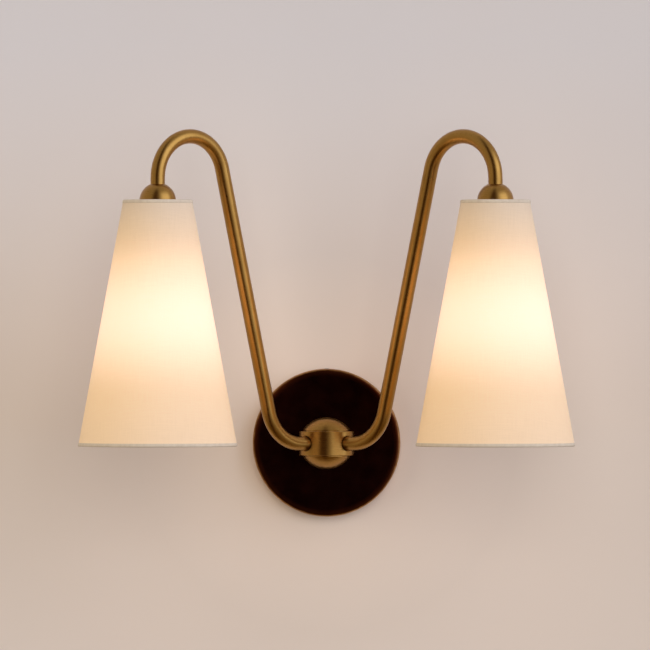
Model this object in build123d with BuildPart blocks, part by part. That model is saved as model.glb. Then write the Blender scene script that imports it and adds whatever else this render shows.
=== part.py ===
from build123d import *

import os
from math import cos, radians, sin, sqrt

# Double arm wall sconce, in millimetres. +Z is up, the wall is the plane Y = 0 and the sconce stands out
# towards -Y. The origin is the middle of the wall screws' pattern, which is also the wall plate's centre.

# Wall plate: a pressed pan, open towards the wall
PLATE_DIA = 125.0
PLATE_DEPTH = 20.0
PLATE_WALL = 1.5
PLATE_EDGE_RADIUS = 3.2

# Hub: a short upright cylinder with a domed cap above and below
HUB_REACH = 52.0  # from the wall to the hub's upright axis
HUB_DIA = 46.0
HUB_HEIGHT = 20.5
HUB_CAVITY_DIA = 34.0
CAP_DIA = 40.0
CAP_HEIGHT = 11.6
CAP_WALL = 2.0
REVEAL = 0.8  # dark gap between the hub and each cap

# Arms: one planar bend each, turned forward out of the wall's plane
ARM_DIA = 12.0
ARM_WALL = 1.2
ARM_BEND_RADIUS = 35.0
ARM_LEAN = 14.0  # degrees off upright, seen square to the arm's plane
ARM_SWEEP = 40.0  # degrees forward of the wall's plane
ARM_TOP = 256.5  # centreline of the arch above the hub's middle
SHADE_SPACING = 280.0  # between the two shades' axes

# Cup over each lampholder
CUP_DIA = 30.4
CUP_WALL = 1.2
CUP_CENTRE_Z = 202.5
CUP_RIM_Z = 194.5

# Shade: a tapered cone, open at both ends
SHADE_TOP_Z = 203.5
SHADE_BOTTOM_Z = -1.0
SHADE_TOP_DIA = 57.0
SHADE_BOTTOM_DIA = 132.0
SHADE_WALL = 0.8
TRIM_WALL = 0.4
TRIM_HEIGHT = 3.2
SHADE_WIRE_DIA = 2.2
FITTER_SPOKES = 3

# Lampholder and lamp
BARREL_THREAD_DIA = 27.7
BARREL_BOTTOM_Z = 158.0
RING_DIA = 37.0
RING_TRAVEL = 10.0
LAMP_DIA = 25.0
LAMP_BOTTOM_Z = 78.0
LAMP_CAP_DIA = 13.94

# Threaded tubes and the clearances between pieces
NIPPLE_DIA = 9.56
NIPPLE_BORE = 7.5
NUT_FLATS = 14.0
NUT_FACE_SHARE = 0.97  # of the flats' width, for the round face that is left by turning off the corners
FIT_GAP = 0.02  # between pieces that are screwed or brazed together
RUNNING_GAP = 0.08  # between a thread and what turns on it
FREE_GAP = 0.3  # between pieces of two bodies that move apart
THREAD_CHAMFER = 0.5
OVERCUT = 1.0  # how far a cut runs past the face it opens

PLATE_RADIUS = PLATE_DIA / 2
HUB_RADIUS = HUB_DIA / 2
CAVITY_RADIUS = HUB_CAVITY_DIA / 2
ARM_RADIUS = ARM_DIA / 2
HALF_BAND = HUB_HEIGHT / 2
SWEEP = radians(ARM_SWEEP)
LEAN = radians(ARM_LEAN)

# The shade's axis lies in the arm's plane, so its reach off the wall follows from the sweep
DROP_REACH = SHADE_SPACING / 2 / cos(SWEEP)
SHADE_AXIS_Y = -HUB_REACH - DROP_REACH * sin(SWEEP)

os.makedirs("parts", exist_ok=True)


def write(piece, name):
    """Labels a finished piece and writes it as a node of its own."""
    piece.part.label = name
    export_step(piece.part, f"parts/{name}.step")


def upright_axis(x, y):
    """The vertical axis through a place on the plan."""
    return Axis((x, y, 0), (0, 0, 1))


def section_plane(x, y):
    """An upright plane through a vertical axis: local x is the radius and local y is the height."""
    return Plane(origin=(x, y, 0), x_dir=(1, 0, 0), z_dir=(0, -1, 0))


# The wall's normal runs through the hub's middle: plate, neck and bracket are turned about it
WALL_NORMAL = Axis((0, 0, 0), (0, -1, 0))
# Local x is the radius from the wall's normal, and local y is negative by the height off the wall
TURNED_SECTION = Plane(origin=(0, 0, 0), x_dir=(1, 0, 0), z_dir=(0, 0, 1))


def off_wall(height):
    """A plane parallel to the wall, facing out from it, that far off it."""
    return Plane(origin=(0, -height, 0), x_dir=(1, 0, 0), z_dir=(0, -1, 0))


# ---------------------------------------------------------------- wall bracket
# Bent steel strap that is screwed to the wall box. The plate's rim screws go into its two tabs.
STRAP_WIDTH = 22.0
STRAP_THICKNESS = 2.0
TAB_REACH = 57.0  # outer face of each tab, from the middle
TAB_DEPTH = 14.0
TAB_CORNER_RADIUS = 4.0
SLOT_PITCH = 84.0
SLOT_LENGTH = 18.0
SLOT_WIDTH = 4.6
CABLE_HOLE_DIA = 16.0
RIM_SCREW_DIA = 4.0
RIM_SCREW_OFF_WALL = 9.0
EARTH_SCREW_DIA = 4.0
EARTH_SCREW_Z = 19.0
BLOCK_SCREW_DIA = 2.6
BLOCK_MIDDLE_Z = -19.0

with BuildPart() as wall_bracket:
    with BuildSketch(Plane.YZ.offset(-STRAP_WIDTH / 2)):
        with BuildLine():
            Polyline(
                (-TAB_DEPTH, TAB_REACH),
                (0, TAB_REACH),
                (0, -TAB_REACH),
                (-TAB_DEPTH, -TAB_REACH),
                (-TAB_DEPTH, -TAB_REACH + STRAP_THICKNESS),
                (-STRAP_THICKNESS, -TAB_REACH + STRAP_THICKNESS),
                (-STRAP_THICKNESS, TAB_REACH - STRAP_THICKNESS),
                (-TAB_DEPTH, TAB_REACH - STRAP_THICKNESS),
                close=True,
            )
        make_face()
    extrude(amount=STRAP_WIDTH)
    level_edges = wall_bracket.edges().filter_by(Axis.X)
    outer_bends = level_edges.group_by(Axis.Y)[-1]
    fillet(outer_bends, STRAP_THICKNESS)
    with BuildSketch(off_wall(-OVERCUT)):
        with Locations((0, SLOT_PITCH / 2), (0, -SLOT_PITCH / 2)):
            SlotOverall(SLOT_LENGTH, SLOT_WIDTH, rotation=90)
        Circle(CABLE_HOLE_DIA / 2)
        with Locations((0, EARTH_SCREW_Z)):
            Circle(EARTH_SCREW_DIA / 2 + FIT_GAP)
        with Locations((0, BLOCK_MIDDLE_Z)):
            Circle(BLOCK_SCREW_DIA / 2 + FIT_GAP)
    extrude(amount=STRAP_THICKNESS + 2 * OVERCUT, mode=Mode.SUBTRACT)
    with BuildSketch(Plane.XY.offset(-TAB_REACH - OVERCUT)):
        with Locations((0, -RIM_SCREW_OFF_WALL)):
            Circle(RIM_SCREW_DIA / 2 + FIT_GAP)
    extrude(amount=2 * (TAB_REACH + OVERCUT), mode=Mode.SUBTRACT)
    upright_edges = wall_bracket.edges().filter_by(Axis.Z)
    tab_corners = upright_edges.group_by(Axis.Y)[0]
    fillet(tab_corners, TAB_CORNER_RADIUS)
write(wall_bracket, "wall_bracket")

# ---------------------------------------------------------------- earth screw
EARTH_HEAD_DIA = 8.0
EARTH_HEAD_HEIGHT = 2.6
EARTH_HEAD_ROUNDING = 1.0
EARTH_TAG_THICKNESS = 0.8
EARTH_DRIVE_WIDTH = 1.0
EARTH_DRIVE_DEPTH = 1.2
EARTH_DRIVE_CROSS = 4.8  # length of the shorter bar of the cross slot
SHANK_OFF_WALL = 0.2  # the screws in the strap end just short of the wall

with BuildPart() as earth_screw:
    head_base = STRAP_THICKNESS + EARTH_TAG_THICKNESS + FIT_GAP
    with BuildSketch(off_wall(head_base)):
        with Locations((0, EARTH_SCREW_Z)):
            Circle(EARTH_HEAD_DIA / 2)
    extrude(amount=EARTH_HEAD_HEIGHT)
    fillet(earth_screw.edges().sort_by(Axis.Y)[0], EARTH_HEAD_ROUNDING)
    with BuildSketch(off_wall(SHANK_OFF_WALL)):
        with Locations((0, EARTH_SCREW_Z)):
            Circle(EARTH_SCREW_DIA / 2)
    extrude(amount=head_base - SHANK_OFF_WALL)
    with BuildSketch(off_wall(head_base + EARTH_HEAD_HEIGHT)):
        with Locations((0, EARTH_SCREW_Z)):
            Rectangle(EARTH_HEAD_DIA, EARTH_DRIVE_WIDTH)
            Rectangle(EARTH_DRIVE_WIDTH, EARTH_DRIVE_CROSS)
    extrude(amount=-EARTH_DRIVE_DEPTH, mode=Mode.SUBTRACT)
write(earth_screw, "earth_screw")

# ---------------------------------------------------------------- wall plate
# Spun pan. Its rim stands on the wall all round, and the neck is clamped through the hole in its middle.
NIPPLE_HOLE_DIA = 10.2
RIM_HOLE_GAP = 0.1  # round each rim screw

with BuildPart() as wall_plate:
    with BuildSketch(TURNED_SECTION) as pan_section:
        with BuildLine():
            Polyline(
                (NIPPLE_HOLE_DIA / 2, -PLATE_DEPTH),
                (PLATE_RADIUS, -PLATE_DEPTH),
                (PLATE_RADIUS, 0),
                (PLATE_RADIUS - PLATE_WALL, 0),
                (PLATE_RADIUS - PLATE_WALL, -PLATE_DEPTH + PLATE_WALL),
                (NIPPLE_HOLE_DIA / 2, -PLATE_DEPTH + PLATE_WALL),
                close=True,
            )
        make_face()
        outer_corner = pan_section.vertices().sort_by_distance((PLATE_RADIUS, -PLATE_DEPTH, 0))[0]
        fillet(outer_corner, PLATE_EDGE_RADIUS)
        inner_place = (PLATE_RADIUS - PLATE_WALL, -PLATE_DEPTH + PLATE_WALL, 0)
        inner_corner = pan_section.vertices().sort_by_distance(inner_place)[0]
        fillet(inner_corner, PLATE_EDGE_RADIUS - PLATE_WALL)
    revolve(axis=WALL_NORMAL)
    with BuildSketch(Plane.XY.offset(-PLATE_RADIUS - OVERCUT)):
        with Locations((0, -RIM_SCREW_OFF_WALL)):
            Circle(RIM_SCREW_DIA / 2 + RIM_HOLE_GAP)
    extrude(amount=2 * (PLATE_RADIUS + OVERCUT), mode=Mode.SUBTRACT)
write(wall_plate, "wall_plate")

# ---------------------------------------------------------------- rim screws
# Two socket set screws, top and bottom, through the plate's rim into the bracket's tabs.
RIM_SCREW_PROUD = 0.5
RIM_SCREW_LENGTH = 10.5
RIM_SCREW_CHAMFER = 0.35
HEX_KEY = 2.0
HEX_DEPTH = 2.4

with BuildPart() as rim_screws:
    for upward in (1, -1):
        tip = PLATE_RADIUS + RIM_SCREW_PROUD
        screw_plane = Plane(
            origin=(0, -RIM_SCREW_OFF_WALL, upward * tip), x_dir=(1, 0, 0), z_dir=(0, 0, -upward)
        )
        with BuildSketch(screw_plane):
            Circle(RIM_SCREW_DIA / 2)
        extrude(amount=RIM_SCREW_LENGTH)
        with BuildSketch(screw_plane):
            RegularPolygon(HEX_KEY / 2, 6, major_radius=False)
        extrude(amount=HEX_DEPTH, mode=Mode.SUBTRACT)
    chamfer(rim_screws.edges().filter_by(GeomType.CIRCLE), RIM_SCREW_CHAMFER)
write(rim_screws, "rim_screws")

# ---------------------------------------------------------------- neck
# Turned brass neck between the plate and the hub, with a flange that bears on the plate.
NECK_DIA = 16.0
NECK_FLANGE_DIA = 26.0
NECK_FLANGE_HEIGHT = 3.0
NECK_FLANGE_ROUNDING = 1.4
NECK_TAPER_HEIGHT = 1.5  # from the flange's face to the plain neck
NECK_SEAT = 19.0  # radius in the hub at which the neck ends

with BuildPart() as neck:
    with BuildSketch(TURNED_SECTION) as neck_section:
        with BuildLine():
            Polyline(
                (NIPPLE_DIA / 2 + FIT_GAP, -PLATE_DEPTH),
                (NECK_FLANGE_DIA / 2, -PLATE_DEPTH),
                (NECK_FLANGE_DIA / 2, -PLATE_DEPTH - NECK_FLANGE_HEIGHT),
                (NECK_DIA / 2, -PLATE_DEPTH - NECK_FLANGE_HEIGHT - NECK_TAPER_HEIGHT),
                (NECK_DIA / 2, -HUB_REACH + NECK_SEAT + FIT_GAP),
                (NIPPLE_DIA / 2 + FIT_GAP, -HUB_REACH + NECK_SEAT + FIT_GAP),
                close=True,
            )
        make_face()
        flange_edge = (NECK_FLANGE_DIA / 2, -PLATE_DEPTH - NECK_FLANGE_HEIGHT, 0)
        fillet(neck_section.vertices().sort_by_distance(flange_edge)[0], NECK_FLANGE_ROUNDING)
    revolve(axis=WALL_NORMAL)
write(neck, "neck")

# ---------------------------------------------------------------- threaded tube of the neck
# Hollow threaded tube from the hub's cavity to behind the plate. The leads run through it.
NECK_TUBE_HUB_END = 11.5  # from the hub's axis
NECK_TUBE_WALL_END = 13.0  # off the wall

with BuildPart() as neck_tube:
    with BuildSketch(off_wall(NECK_TUBE_WALL_END)):
        Circle(NIPPLE_DIA / 2)
        Circle(NIPPLE_BORE / 2, mode=Mode.SUBTRACT)
    extrude(amount=HUB_REACH - NECK_TUBE_HUB_END - NECK_TUBE_WALL_END)
    neck_tube_rims = neck_tube.edges().filter_by(GeomType.CIRCLE).sort_by(SortBy.RADIUS)[-2:]
    chamfer(neck_tube_rims, THREAD_CHAMFER)
write(neck_tube, "neck_tube")


def hex_nut(plane, flats, height, hole_dia):
    """A hexagon nut that stands on a plane, its corners turned off at 30 degrees on the outer side."""
    corner = flats / sqrt(3)
    turned_radius = flats / 2 * NUT_FACE_SHARE
    turned_height = (corner + OVERCUT - turned_radius) / sqrt(3)
    with BuildPart() as nut:
        with BuildSketch(plane):
            RegularPolygon(flats / 2, 6, major_radius=False)
            Circle(hole_dia / 2, mode=Mode.SUBTRACT)
        extrude(amount=height)
        with BuildSketch(Plane(origin=plane.origin, x_dir=plane.x_dir, z_dir=plane.y_dir)):
            with BuildLine():
                Polyline(
                    (0, 0),
                    (corner + OVERCUT, 0),
                    (corner + OVERCUT, turned_height - height),
                    (turned_radius, -height),
                    (0, -height),
                    close=True,
                )
            make_face()
        revolve(axis=Axis(plane.origin, plane.z_dir), mode=Mode.INTERSECT)
    return nut


# ---------------------------------------------------------------- nut and washer behind the plate
LOCK_WASHER_DIA = 17.0
LOCK_WASHER_THICKNESS = 1.2
LOCK_WASHER_TEETH = 12
TOOTH_GAP_DEPTH = 1.2
TOOTH_GAP_WIDTH = 1.2
PLATE_NUT_HEIGHT = 3.2

with BuildPart() as lock_washer:
    washer_base = PLATE_DEPTH - PLATE_WALL
    with BuildSketch(off_wall(washer_base)):
        Circle(LOCK_WASHER_DIA / 2)
        Circle(NIPPLE_HOLE_DIA / 2, mode=Mode.SUBTRACT)
        with PolarLocations(LOCK_WASHER_DIA / 2, LOCK_WASHER_TEETH):
            Rectangle(2 * TOOTH_GAP_DEPTH, TOOTH_GAP_WIDTH, mode=Mode.SUBTRACT)
    extrude(amount=-LOCK_WASHER_THICKNESS)
write(lock_washer, "lock_washer")

plate_nut_seat = PLATE_DEPTH - PLATE_WALL - LOCK_WASHER_THICKNESS - EARTH_TAG_THICKNESS
facing_wall = Plane(origin=(0, -plate_nut_seat, 0), x_dir=(1, 0, 0), z_dir=(0, 1, 0))
plate_nut = hex_nut(facing_wall, NUT_FLATS, PLATE_NUT_HEIGHT, NIPPLE_DIA + 2 * FIT_GAP)
write(plate_nut, "plate_nut")

# ---------------------------------------------------------------- hub body
# Turned brass ring. The arms enter it left and right, forward of the middle, and the neck from behind.
ARM_HOLE_REVEAL = 0.7  # dark gap round each arm where it enters
ARM_HOLE_DEPTH = 1.6
HUB_EDGE_ROUNDING = 0.6


def arm_plane(side):
    """The arm's own plane: local x runs out along the arm's plan line and local y runs up."""
    outward = Vector(side * cos(SWEEP), -sin(SWEEP), 0)
    return Plane(origin=(0, -HUB_REACH, 0), x_dir=outward, z_dir=outward.cross(Vector(0, 0, 1)))


def across_arm(side, reach):
    """A plane square to the arm's plan line, facing outward, that far from the hub's axis."""
    outward = Vector(side * cos(SWEEP), -sin(SWEEP), 0)
    centre = Vector(0, -HUB_REACH, 0) + outward * reach
    return Plane(origin=centre, x_dir=Vector(0, 0, 1).cross(outward), z_dir=outward)


SIDES = {"left": -1, "right": 1}

with BuildPart() as hub_body:
    with BuildSketch(Plane.XY.offset(-HALF_BAND)):
        with Locations((0, -HUB_REACH)):
            Circle(HUB_RADIUS)
            Circle(CAVITY_RADIUS, mode=Mode.SUBTRACT)
    extrude(amount=HUB_HEIGHT)
    band_rims = hub_body.edges().filter_by(GeomType.CIRCLE).sort_by(SortBy.RADIUS)[-2:]
    fillet(band_rims, HUB_EDGE_ROUNDING)
    for side in SIDES.values():
        with BuildSketch(across_arm(side, 0)):
            Circle(ARM_RADIUS + FIT_GAP)
        extrude(amount=HUB_RADIUS + OVERCUT, mode=Mode.SUBTRACT)
        recess_floor = sqrt(HUB_RADIUS**2 - (ARM_RADIUS + ARM_HOLE_REVEAL) ** 2) - ARM_HOLE_DEPTH
        with BuildSketch(across_arm(side, recess_floor)):
            Circle(ARM_RADIUS + ARM_HOLE_REVEAL)
        extrude(amount=HUB_RADIUS, mode=Mode.SUBTRACT)
    with BuildSketch(off_wall(HUB_REACH)):
        Circle(NIPPLE_DIA / 2 + FIT_GAP)
    extrude(amount=-HUB_RADIUS - OVERCUT, mode=Mode.SUBTRACT)
    with BuildSketch(off_wall(HUB_REACH - NECK_SEAT)):
        Circle(NECK_DIA / 2 + FIT_GAP)
    extrude(amount=-HUB_RADIUS, mode=Mode.SUBTRACT)
write(hub_body, "hub_body")

# ---------------------------------------------------------------- hub caps
# Spun domes, each with a threaded spigot that screws into the hub's cavity. The narrow neck between
# the two makes the dark reveal.
SPIGOT_DEPTH = 2.5
SPIGOT_WALL = 2.0
REVEAL_DIA = 37.0
DOME_RADIUS = ((CAP_DIA / 2) ** 2 + (CAP_HEIGHT - REVEAL) ** 2) / 2 / (CAP_HEIGHT - REVEAL)

for cap_name, upward in (("hub_cap_top", 1), ("hub_cap_bottom", -1)):
    cap_plane = Plane(
        origin=(0, -HUB_REACH, upward * HALF_BAND), x_dir=(1, 0, 0), z_dir=(0, -upward, 0)
    )
    inner_radius = DOME_RADIUS - CAP_WALL
    inner_base = CAP_HEIGHT - CAP_WALL - inner_radius
    spigot_bore = CAVITY_RADIUS - FIT_GAP - SPIGOT_WALL
    inner_height = inner_base + sqrt(inner_radius**2 - spigot_bore**2)
    with BuildPart() as hub_cap:
        with BuildSketch(cap_plane):
            with BuildLine():
                Line((0, CAP_HEIGHT - CAP_WALL), (0, CAP_HEIGHT))
                RadiusArc((0, CAP_HEIGHT), (CAP_DIA / 2, REVEAL), DOME_RADIUS)
                Polyline(
                    (CAP_DIA / 2, REVEAL),
                    (REVEAL_DIA / 2, REVEAL),
                    (REVEAL_DIA / 2, 0),
                    (CAVITY_RADIUS - FIT_GAP, 0),
                    (CAVITY_RADIUS - FIT_GAP, -SPIGOT_DEPTH),
                    (spigot_bore, -SPIGOT_DEPTH),
                    (spigot_bore, inner_height),
                )
                RadiusArc((spigot_bore, inner_height), (0, CAP_HEIGHT - CAP_WALL), -inner_radius)
            make_face()
        revolve(axis=upright_axis(0, -HUB_REACH))
    write(hub_cap, cap_name)

# ---------------------------------------------------------------- nut on the neck's tube, in the hub
HUB_NUT_HEIGHT = 2.6

hub_nut_seat = HUB_REACH - sqrt(CAVITY_RADIUS**2 - (NUT_FLATS / sqrt(3)) ** 2) + FIT_GAP
hub_nut = hex_nut(off_wall(hub_nut_seat), NUT_FLATS, HUB_NUT_HEIGHT, NIPPLE_DIA + 2 * FIT_GAP)
write(hub_nut, "hub_nut")

# ---------------------------------------------------------------- arms
# One length of brass tube each: level out of the hub, up a leaning leg, over the arch and down to the cup.
ARM_INNER_END = 11.2  # from the hub's axis
CUP_SHOULDER = 0.2  # flat that is left round the arm's end on the cup
LEG_ANGLE = 90 - ARM_LEAN
CUP_FLAT_RADIUS = ARM_RADIUS + CUP_SHOULDER
CUP_TOP_Z = CUP_CENTRE_Z + sqrt((CUP_DIA / 2) ** 2 - CUP_FLAT_RADIUS**2)
ARCH_CENTRE_Z = ARM_TOP - ARM_BEND_RADIUS
LOW_BEND_RISE = ARM_BEND_RADIUS * (1 - sin(LEAN))
LOW_BEND_REACH = ARM_BEND_RADIUS * cos(LEAN)
LEG_TOP_Z = ARCH_CENTRE_Z + ARM_BEND_RADIUS * sin(LEAN)
LEG_LENGTH = (LEG_TOP_Z - LOW_BEND_RISE) / cos(LEAN)
LEG_TOP_REACH = DROP_REACH - ARM_BEND_RADIUS - LOW_BEND_REACH
LEVEL_END = LEG_TOP_REACH - LEG_LENGTH * sin(LEAN) - LOW_BEND_REACH


def arm_route(side, inner_end, outer_z):
    """The arm's centreline, from near the hub's axis to a height above the lampholder."""
    with BuildLine(arm_plane(side)) as route:
        Line((inner_end, 0), (LEVEL_END, 0))
        JernArc((LEVEL_END, 0), (1, 0), ARM_BEND_RADIUS, LEG_ANGLE)
        leg_way = (sin(LEAN), cos(LEAN))
        leg_foot = (LEVEL_END + LOW_BEND_REACH, LOW_BEND_RISE)
        leg_top = (LEG_TOP_REACH, LEG_TOP_Z)
        Line(leg_foot, leg_top)
        JernArc(leg_top, leg_way, ARM_BEND_RADIUS, -(180 - ARM_LEAN))
        Line((DROP_REACH, ARCH_CENTRE_Z), (DROP_REACH, outer_z))
    return route.wire()


for name, side in SIDES.items():
    route = arm_route(side, ARM_INNER_END, CUP_TOP_Z)
    with BuildPart() as arm:
        with BuildSketch(across_arm(side, ARM_INNER_END)):
            Circle(ARM_RADIUS)
            Circle(ARM_RADIUS - ARM_WALL, mode=Mode.SUBTRACT)
        sweep(path=route)
    write(arm, f"arm_{name}")

# ---------------------------------------------------------------- nuts on the arms' inner ends
ARM_NUT_FLATS = 15.0
ARM_NUT_HEIGHT = 2.6

arm_nut_seat = sqrt(CAVITY_RADIUS**2 - (ARM_NUT_FLATS / sqrt(3)) ** 2) - FIT_GAP

for name, side in SIDES.items():
    seat = across_arm(side, arm_nut_seat)
    inward = Plane(origin=seat.origin, x_dir=seat.x_dir, z_dir=-seat.z_dir)
    arm_nut = hex_nut(inward, ARM_NUT_FLATS, ARM_NUT_HEIGHT, ARM_DIA + 2 * FIT_GAP)
    write(arm_nut, f"arm_nut_{name}")

# ---------------------------------------------------------------- terminal block
# Moulded block below the cable hole, with a brass clamp and two screws for each of its two poles.
BLOCK_POLES = 2
POLE_PITCH = 9.0
BLOCK_WIDTH = BLOCK_POLES * POLE_PITCH
BLOCK_HEIGHT = 14.0  # along Z
BLOCK_TOP_Z = BLOCK_MIDDLE_Z + BLOCK_HEIGHT / 2
BLOCK_DEPTH = 10.0  # over the screw towers
BLOCK_STEP_DEPTH = 7.2  # beside the towers
BLOCK_OFF_WALL = STRAP_THICKNESS + 0.1
BLOCK_CORNER_RADIUS = 1.0
TOWER_DIA = 6.8
TOWER_BORE = 3.4
CLAMP_BORE = 3.6
CLAMP_DIA = 5.2
CLAMP_INSET = 0.5  # of the clamps' ends from the block's ends
CLAMP_SCREW_DIA = 3.0
CLAMP_OFF_WALL = BLOCK_OFF_WALL + 4.2

with BuildPart() as terminal_block:
    with BuildSketch(off_wall(BLOCK_OFF_WALL)):
        with Locations((0, BLOCK_MIDDLE_Z)):
            RectangleRounded(BLOCK_WIDTH, BLOCK_HEIGHT, BLOCK_CORNER_RADIUS)
    extrude(amount=BLOCK_STEP_DEPTH)
    with BuildSketch(off_wall(BLOCK_OFF_WALL)):
        with Locations((0, BLOCK_MIDDLE_Z)):
            with GridLocations(POLE_PITCH, BLOCK_HEIGHT / 2, BLOCK_POLES, 2):
                Circle(TOWER_DIA / 2)
    extrude(amount=BLOCK_DEPTH)
    with BuildSketch(Plane.XY.offset(BLOCK_TOP_Z + OVERCUT)):
        with Locations((0, -CLAMP_OFF_WALL)):
            with GridLocations(POLE_PITCH, 0, BLOCK_POLES, 1):
                Circle(CLAMP_DIA / 2 + FIT_GAP)
    extrude(amount=-BLOCK_HEIGHT - 2 * OVERCUT, mode=Mode.SUBTRACT)
    with BuildSketch(off_wall(CLAMP_OFF_WALL)):
        with Locations((0, BLOCK_MIDDLE_Z)):
            with GridLocations(POLE_PITCH, BLOCK_HEIGHT / 2, BLOCK_POLES, 2):
                Circle(TOWER_BORE / 2)
    extrude(amount=BLOCK_DEPTH, mode=Mode.SUBTRACT)
    with BuildSketch(off_wall(BLOCK_OFF_WALL)):
        with Locations((0, BLOCK_MIDDLE_Z)):
            Circle(BLOCK_SCREW_DIA / 2 + FIT_GAP)
    extrude(amount=BLOCK_DEPTH, mode=Mode.SUBTRACT)
write(terminal_block, "terminal_block")

with BuildPart() as terminal_clamps:
    with BuildSketch(Plane.XY.offset(BLOCK_TOP_Z - CLAMP_INSET)):
        with Locations((0, -CLAMP_OFF_WALL)):
            with GridLocations(POLE_PITCH, 0, BLOCK_POLES, 1):
                Circle(CLAMP_DIA / 2)
    extrude(amount=-BLOCK_HEIGHT + 2 * CLAMP_INSET)
    with BuildSketch(off_wall(CLAMP_OFF_WALL)):
        with Locations((0, BLOCK_MIDDLE_Z)):
            with GridLocations(POLE_PITCH, BLOCK_HEIGHT / 2, BLOCK_POLES, 2):
                Circle(CLAMP_SCREW_DIA / 2)
    extrude(amount=BLOCK_DEPTH / 2)
    with BuildSketch(Plane.XY.offset(BLOCK_TOP_Z)):
        with Locations((0, -CLAMP_OFF_WALL)):
            with GridLocations(POLE_PITCH, 0, BLOCK_POLES, 1):
                Circle(CLAMP_BORE / 2)
    extrude(amount=-BLOCK_HEIGHT, mode=Mode.SUBTRACT)
write(terminal_clamps, "terminal_clamps")

BLOCK_SCREW_HEAD_DIA = 3.4
BLOCK_SCREW_HEAD_HEIGHT = 1.4
BLOCK_SCREW_SLOT_WIDTH = 0.7
BLOCK_SCREW_SLOT_DEPTH = 0.7
block_face = BLOCK_OFF_WALL + BLOCK_STEP_DEPTH
block_head_top = block_face + FIT_GAP + BLOCK_SCREW_HEAD_HEIGHT

with BuildPart() as block_screw:
    with BuildSketch(off_wall(SHANK_OFF_WALL)):
        with Locations((0, BLOCK_MIDDLE_Z)):
            Circle(BLOCK_SCREW_DIA / 2)
    extrude(amount=block_face)
    with BuildSketch(off_wall(block_face + FIT_GAP)):
        with Locations((0, BLOCK_MIDDLE_Z)):
            Circle(BLOCK_SCREW_HEAD_DIA / 2)
    extrude(amount=BLOCK_SCREW_HEAD_HEIGHT)
    with BuildSketch(off_wall(block_head_top)):
        with Locations((0, BLOCK_MIDDLE_Z)):
            Rectangle(BLOCK_SCREW_HEAD_DIA + OVERCUT, BLOCK_SCREW_SLOT_WIDTH)
    extrude(amount=-BLOCK_SCREW_SLOT_DEPTH, mode=Mode.SUBTRACT)
write(block_screw, "block_screw")

# ---------------------------------------------------------------- earth wire
# Short wire that bonds the plate and neck to the bracket, with a ring tag crimped on each end.
EARTH_WIRE_DIA = 2.2
STRAP_TAG_DIA = 8.0
PLATE_TAG_DIA = 14.0
TAG_NECK_WIDTH = 3.2
EARTH_LOOP_TOP_Z = 33.0
EARTH_LOOP_RADIUS = 3.0
PLATE_CRIMP_Z = 12.0
STRAP_CRIMP_Z = 27.0
WIRE_ON_TAG = 2.5  # how far the wire lies along each tag's neck
plate_tag_off_wall = plate_nut_seat + EARTH_TAG_THICKNESS / 2
strap_tag_off_wall = STRAP_THICKNESS + EARTH_TAG_THICKNESS / 2 + FIT_GAP / 2
plate_wire_off_wall = plate_tag_off_wall - EARTH_WIRE_DIA / 2
strap_wire_off_wall = strap_tag_off_wall + EARTH_WIRE_DIA / 2

with BuildPart() as earth_wire:
    with BuildSketch(off_wall(STRAP_THICKNESS + FIT_GAP / 2)):
        with Locations((0, EARTH_SCREW_Z)):
            Circle(STRAP_TAG_DIA / 2)
        with Locations((0, (EARTH_SCREW_Z + STRAP_CRIMP_Z) / 2)):
            Rectangle(TAG_NECK_WIDTH, STRAP_CRIMP_Z - EARTH_SCREW_Z)
        with Locations((0, EARTH_SCREW_Z)):
            Circle(EARTH_SCREW_DIA / 2 + FIT_GAP, mode=Mode.SUBTRACT)
    extrude(amount=EARTH_TAG_THICKNESS)
    with BuildSketch(off_wall(plate_nut_seat + FIT_GAP)):
        Circle(PLATE_TAG_DIA / 2)
        with Locations((0, PLATE_CRIMP_Z / 2)):
            Rectangle(TAG_NECK_WIDTH, PLATE_CRIMP_Z)
        Circle(NIPPLE_HOLE_DIA / 2, mode=Mode.SUBTRACT)
    extrude(amount=EARTH_TAG_THICKNESS - 2 * FIT_GAP)
    earth_wire_start = (0, -plate_wire_off_wall, PLATE_CRIMP_Z - WIRE_ON_TAG)
    with BuildLine() as earth_route:
        FilletPolyline(
            earth_wire_start,
            (0, -plate_wire_off_wall, EARTH_LOOP_TOP_Z),
            (0, -strap_wire_off_wall, EARTH_LOOP_TOP_Z),
            (0, -strap_wire_off_wall, STRAP_CRIMP_Z - WIRE_ON_TAG),
            radius=EARTH_LOOP_RADIUS,
        )
    with BuildSketch(Plane(origin=earth_wire_start, x_dir=(1, 0, 0), z_dir=(0, 0, 1))):
        Circle(EARTH_WIRE_DIA / 2)
    sweep(path=earth_route.wire())
write(earth_wire, "earth_wire")

# ---------------------------------------------------------------- leads
# One two-core lead per arm, from its lampholder through arm, hub and neck to the terminal block, where its
# two cores part: one to each pole.
LEAD_DIA = 3.0
LEAD_SPACING = 3.5  # between the two leads where they run side by side
LEAD_HUB_RADIUS = 12.0
LEAD_DROP_RADIUS = 4.0
LEAD_END_Z = -7.0
LEAD_TOP_Z = CUP_TOP_Z - 8.0
LEAD_BEFORE_ARM = 1.0  # straight length of each lead before its arm's inner end
CORE_DIA = 1.2
CORE_OFFSET = 0.7  # of each core from the middle of its lead
CORE_BEND_RADIUS = 1.2
CORE_PARTING_Z = -8.2
CORE_JOINING_Z = -11.2
CORE_CROSSING_LAG = 0.6  # a core that crosses to the far pole parts that much lower
CORE_SPREAD = 0.85  # of the two leads' cores within one clamp
CORE_IN_LEAD = 0.5  # length of each core that starts inside its lead
CORE_TIP_Z = BLOCK_TOP_Z - 3.0

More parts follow.
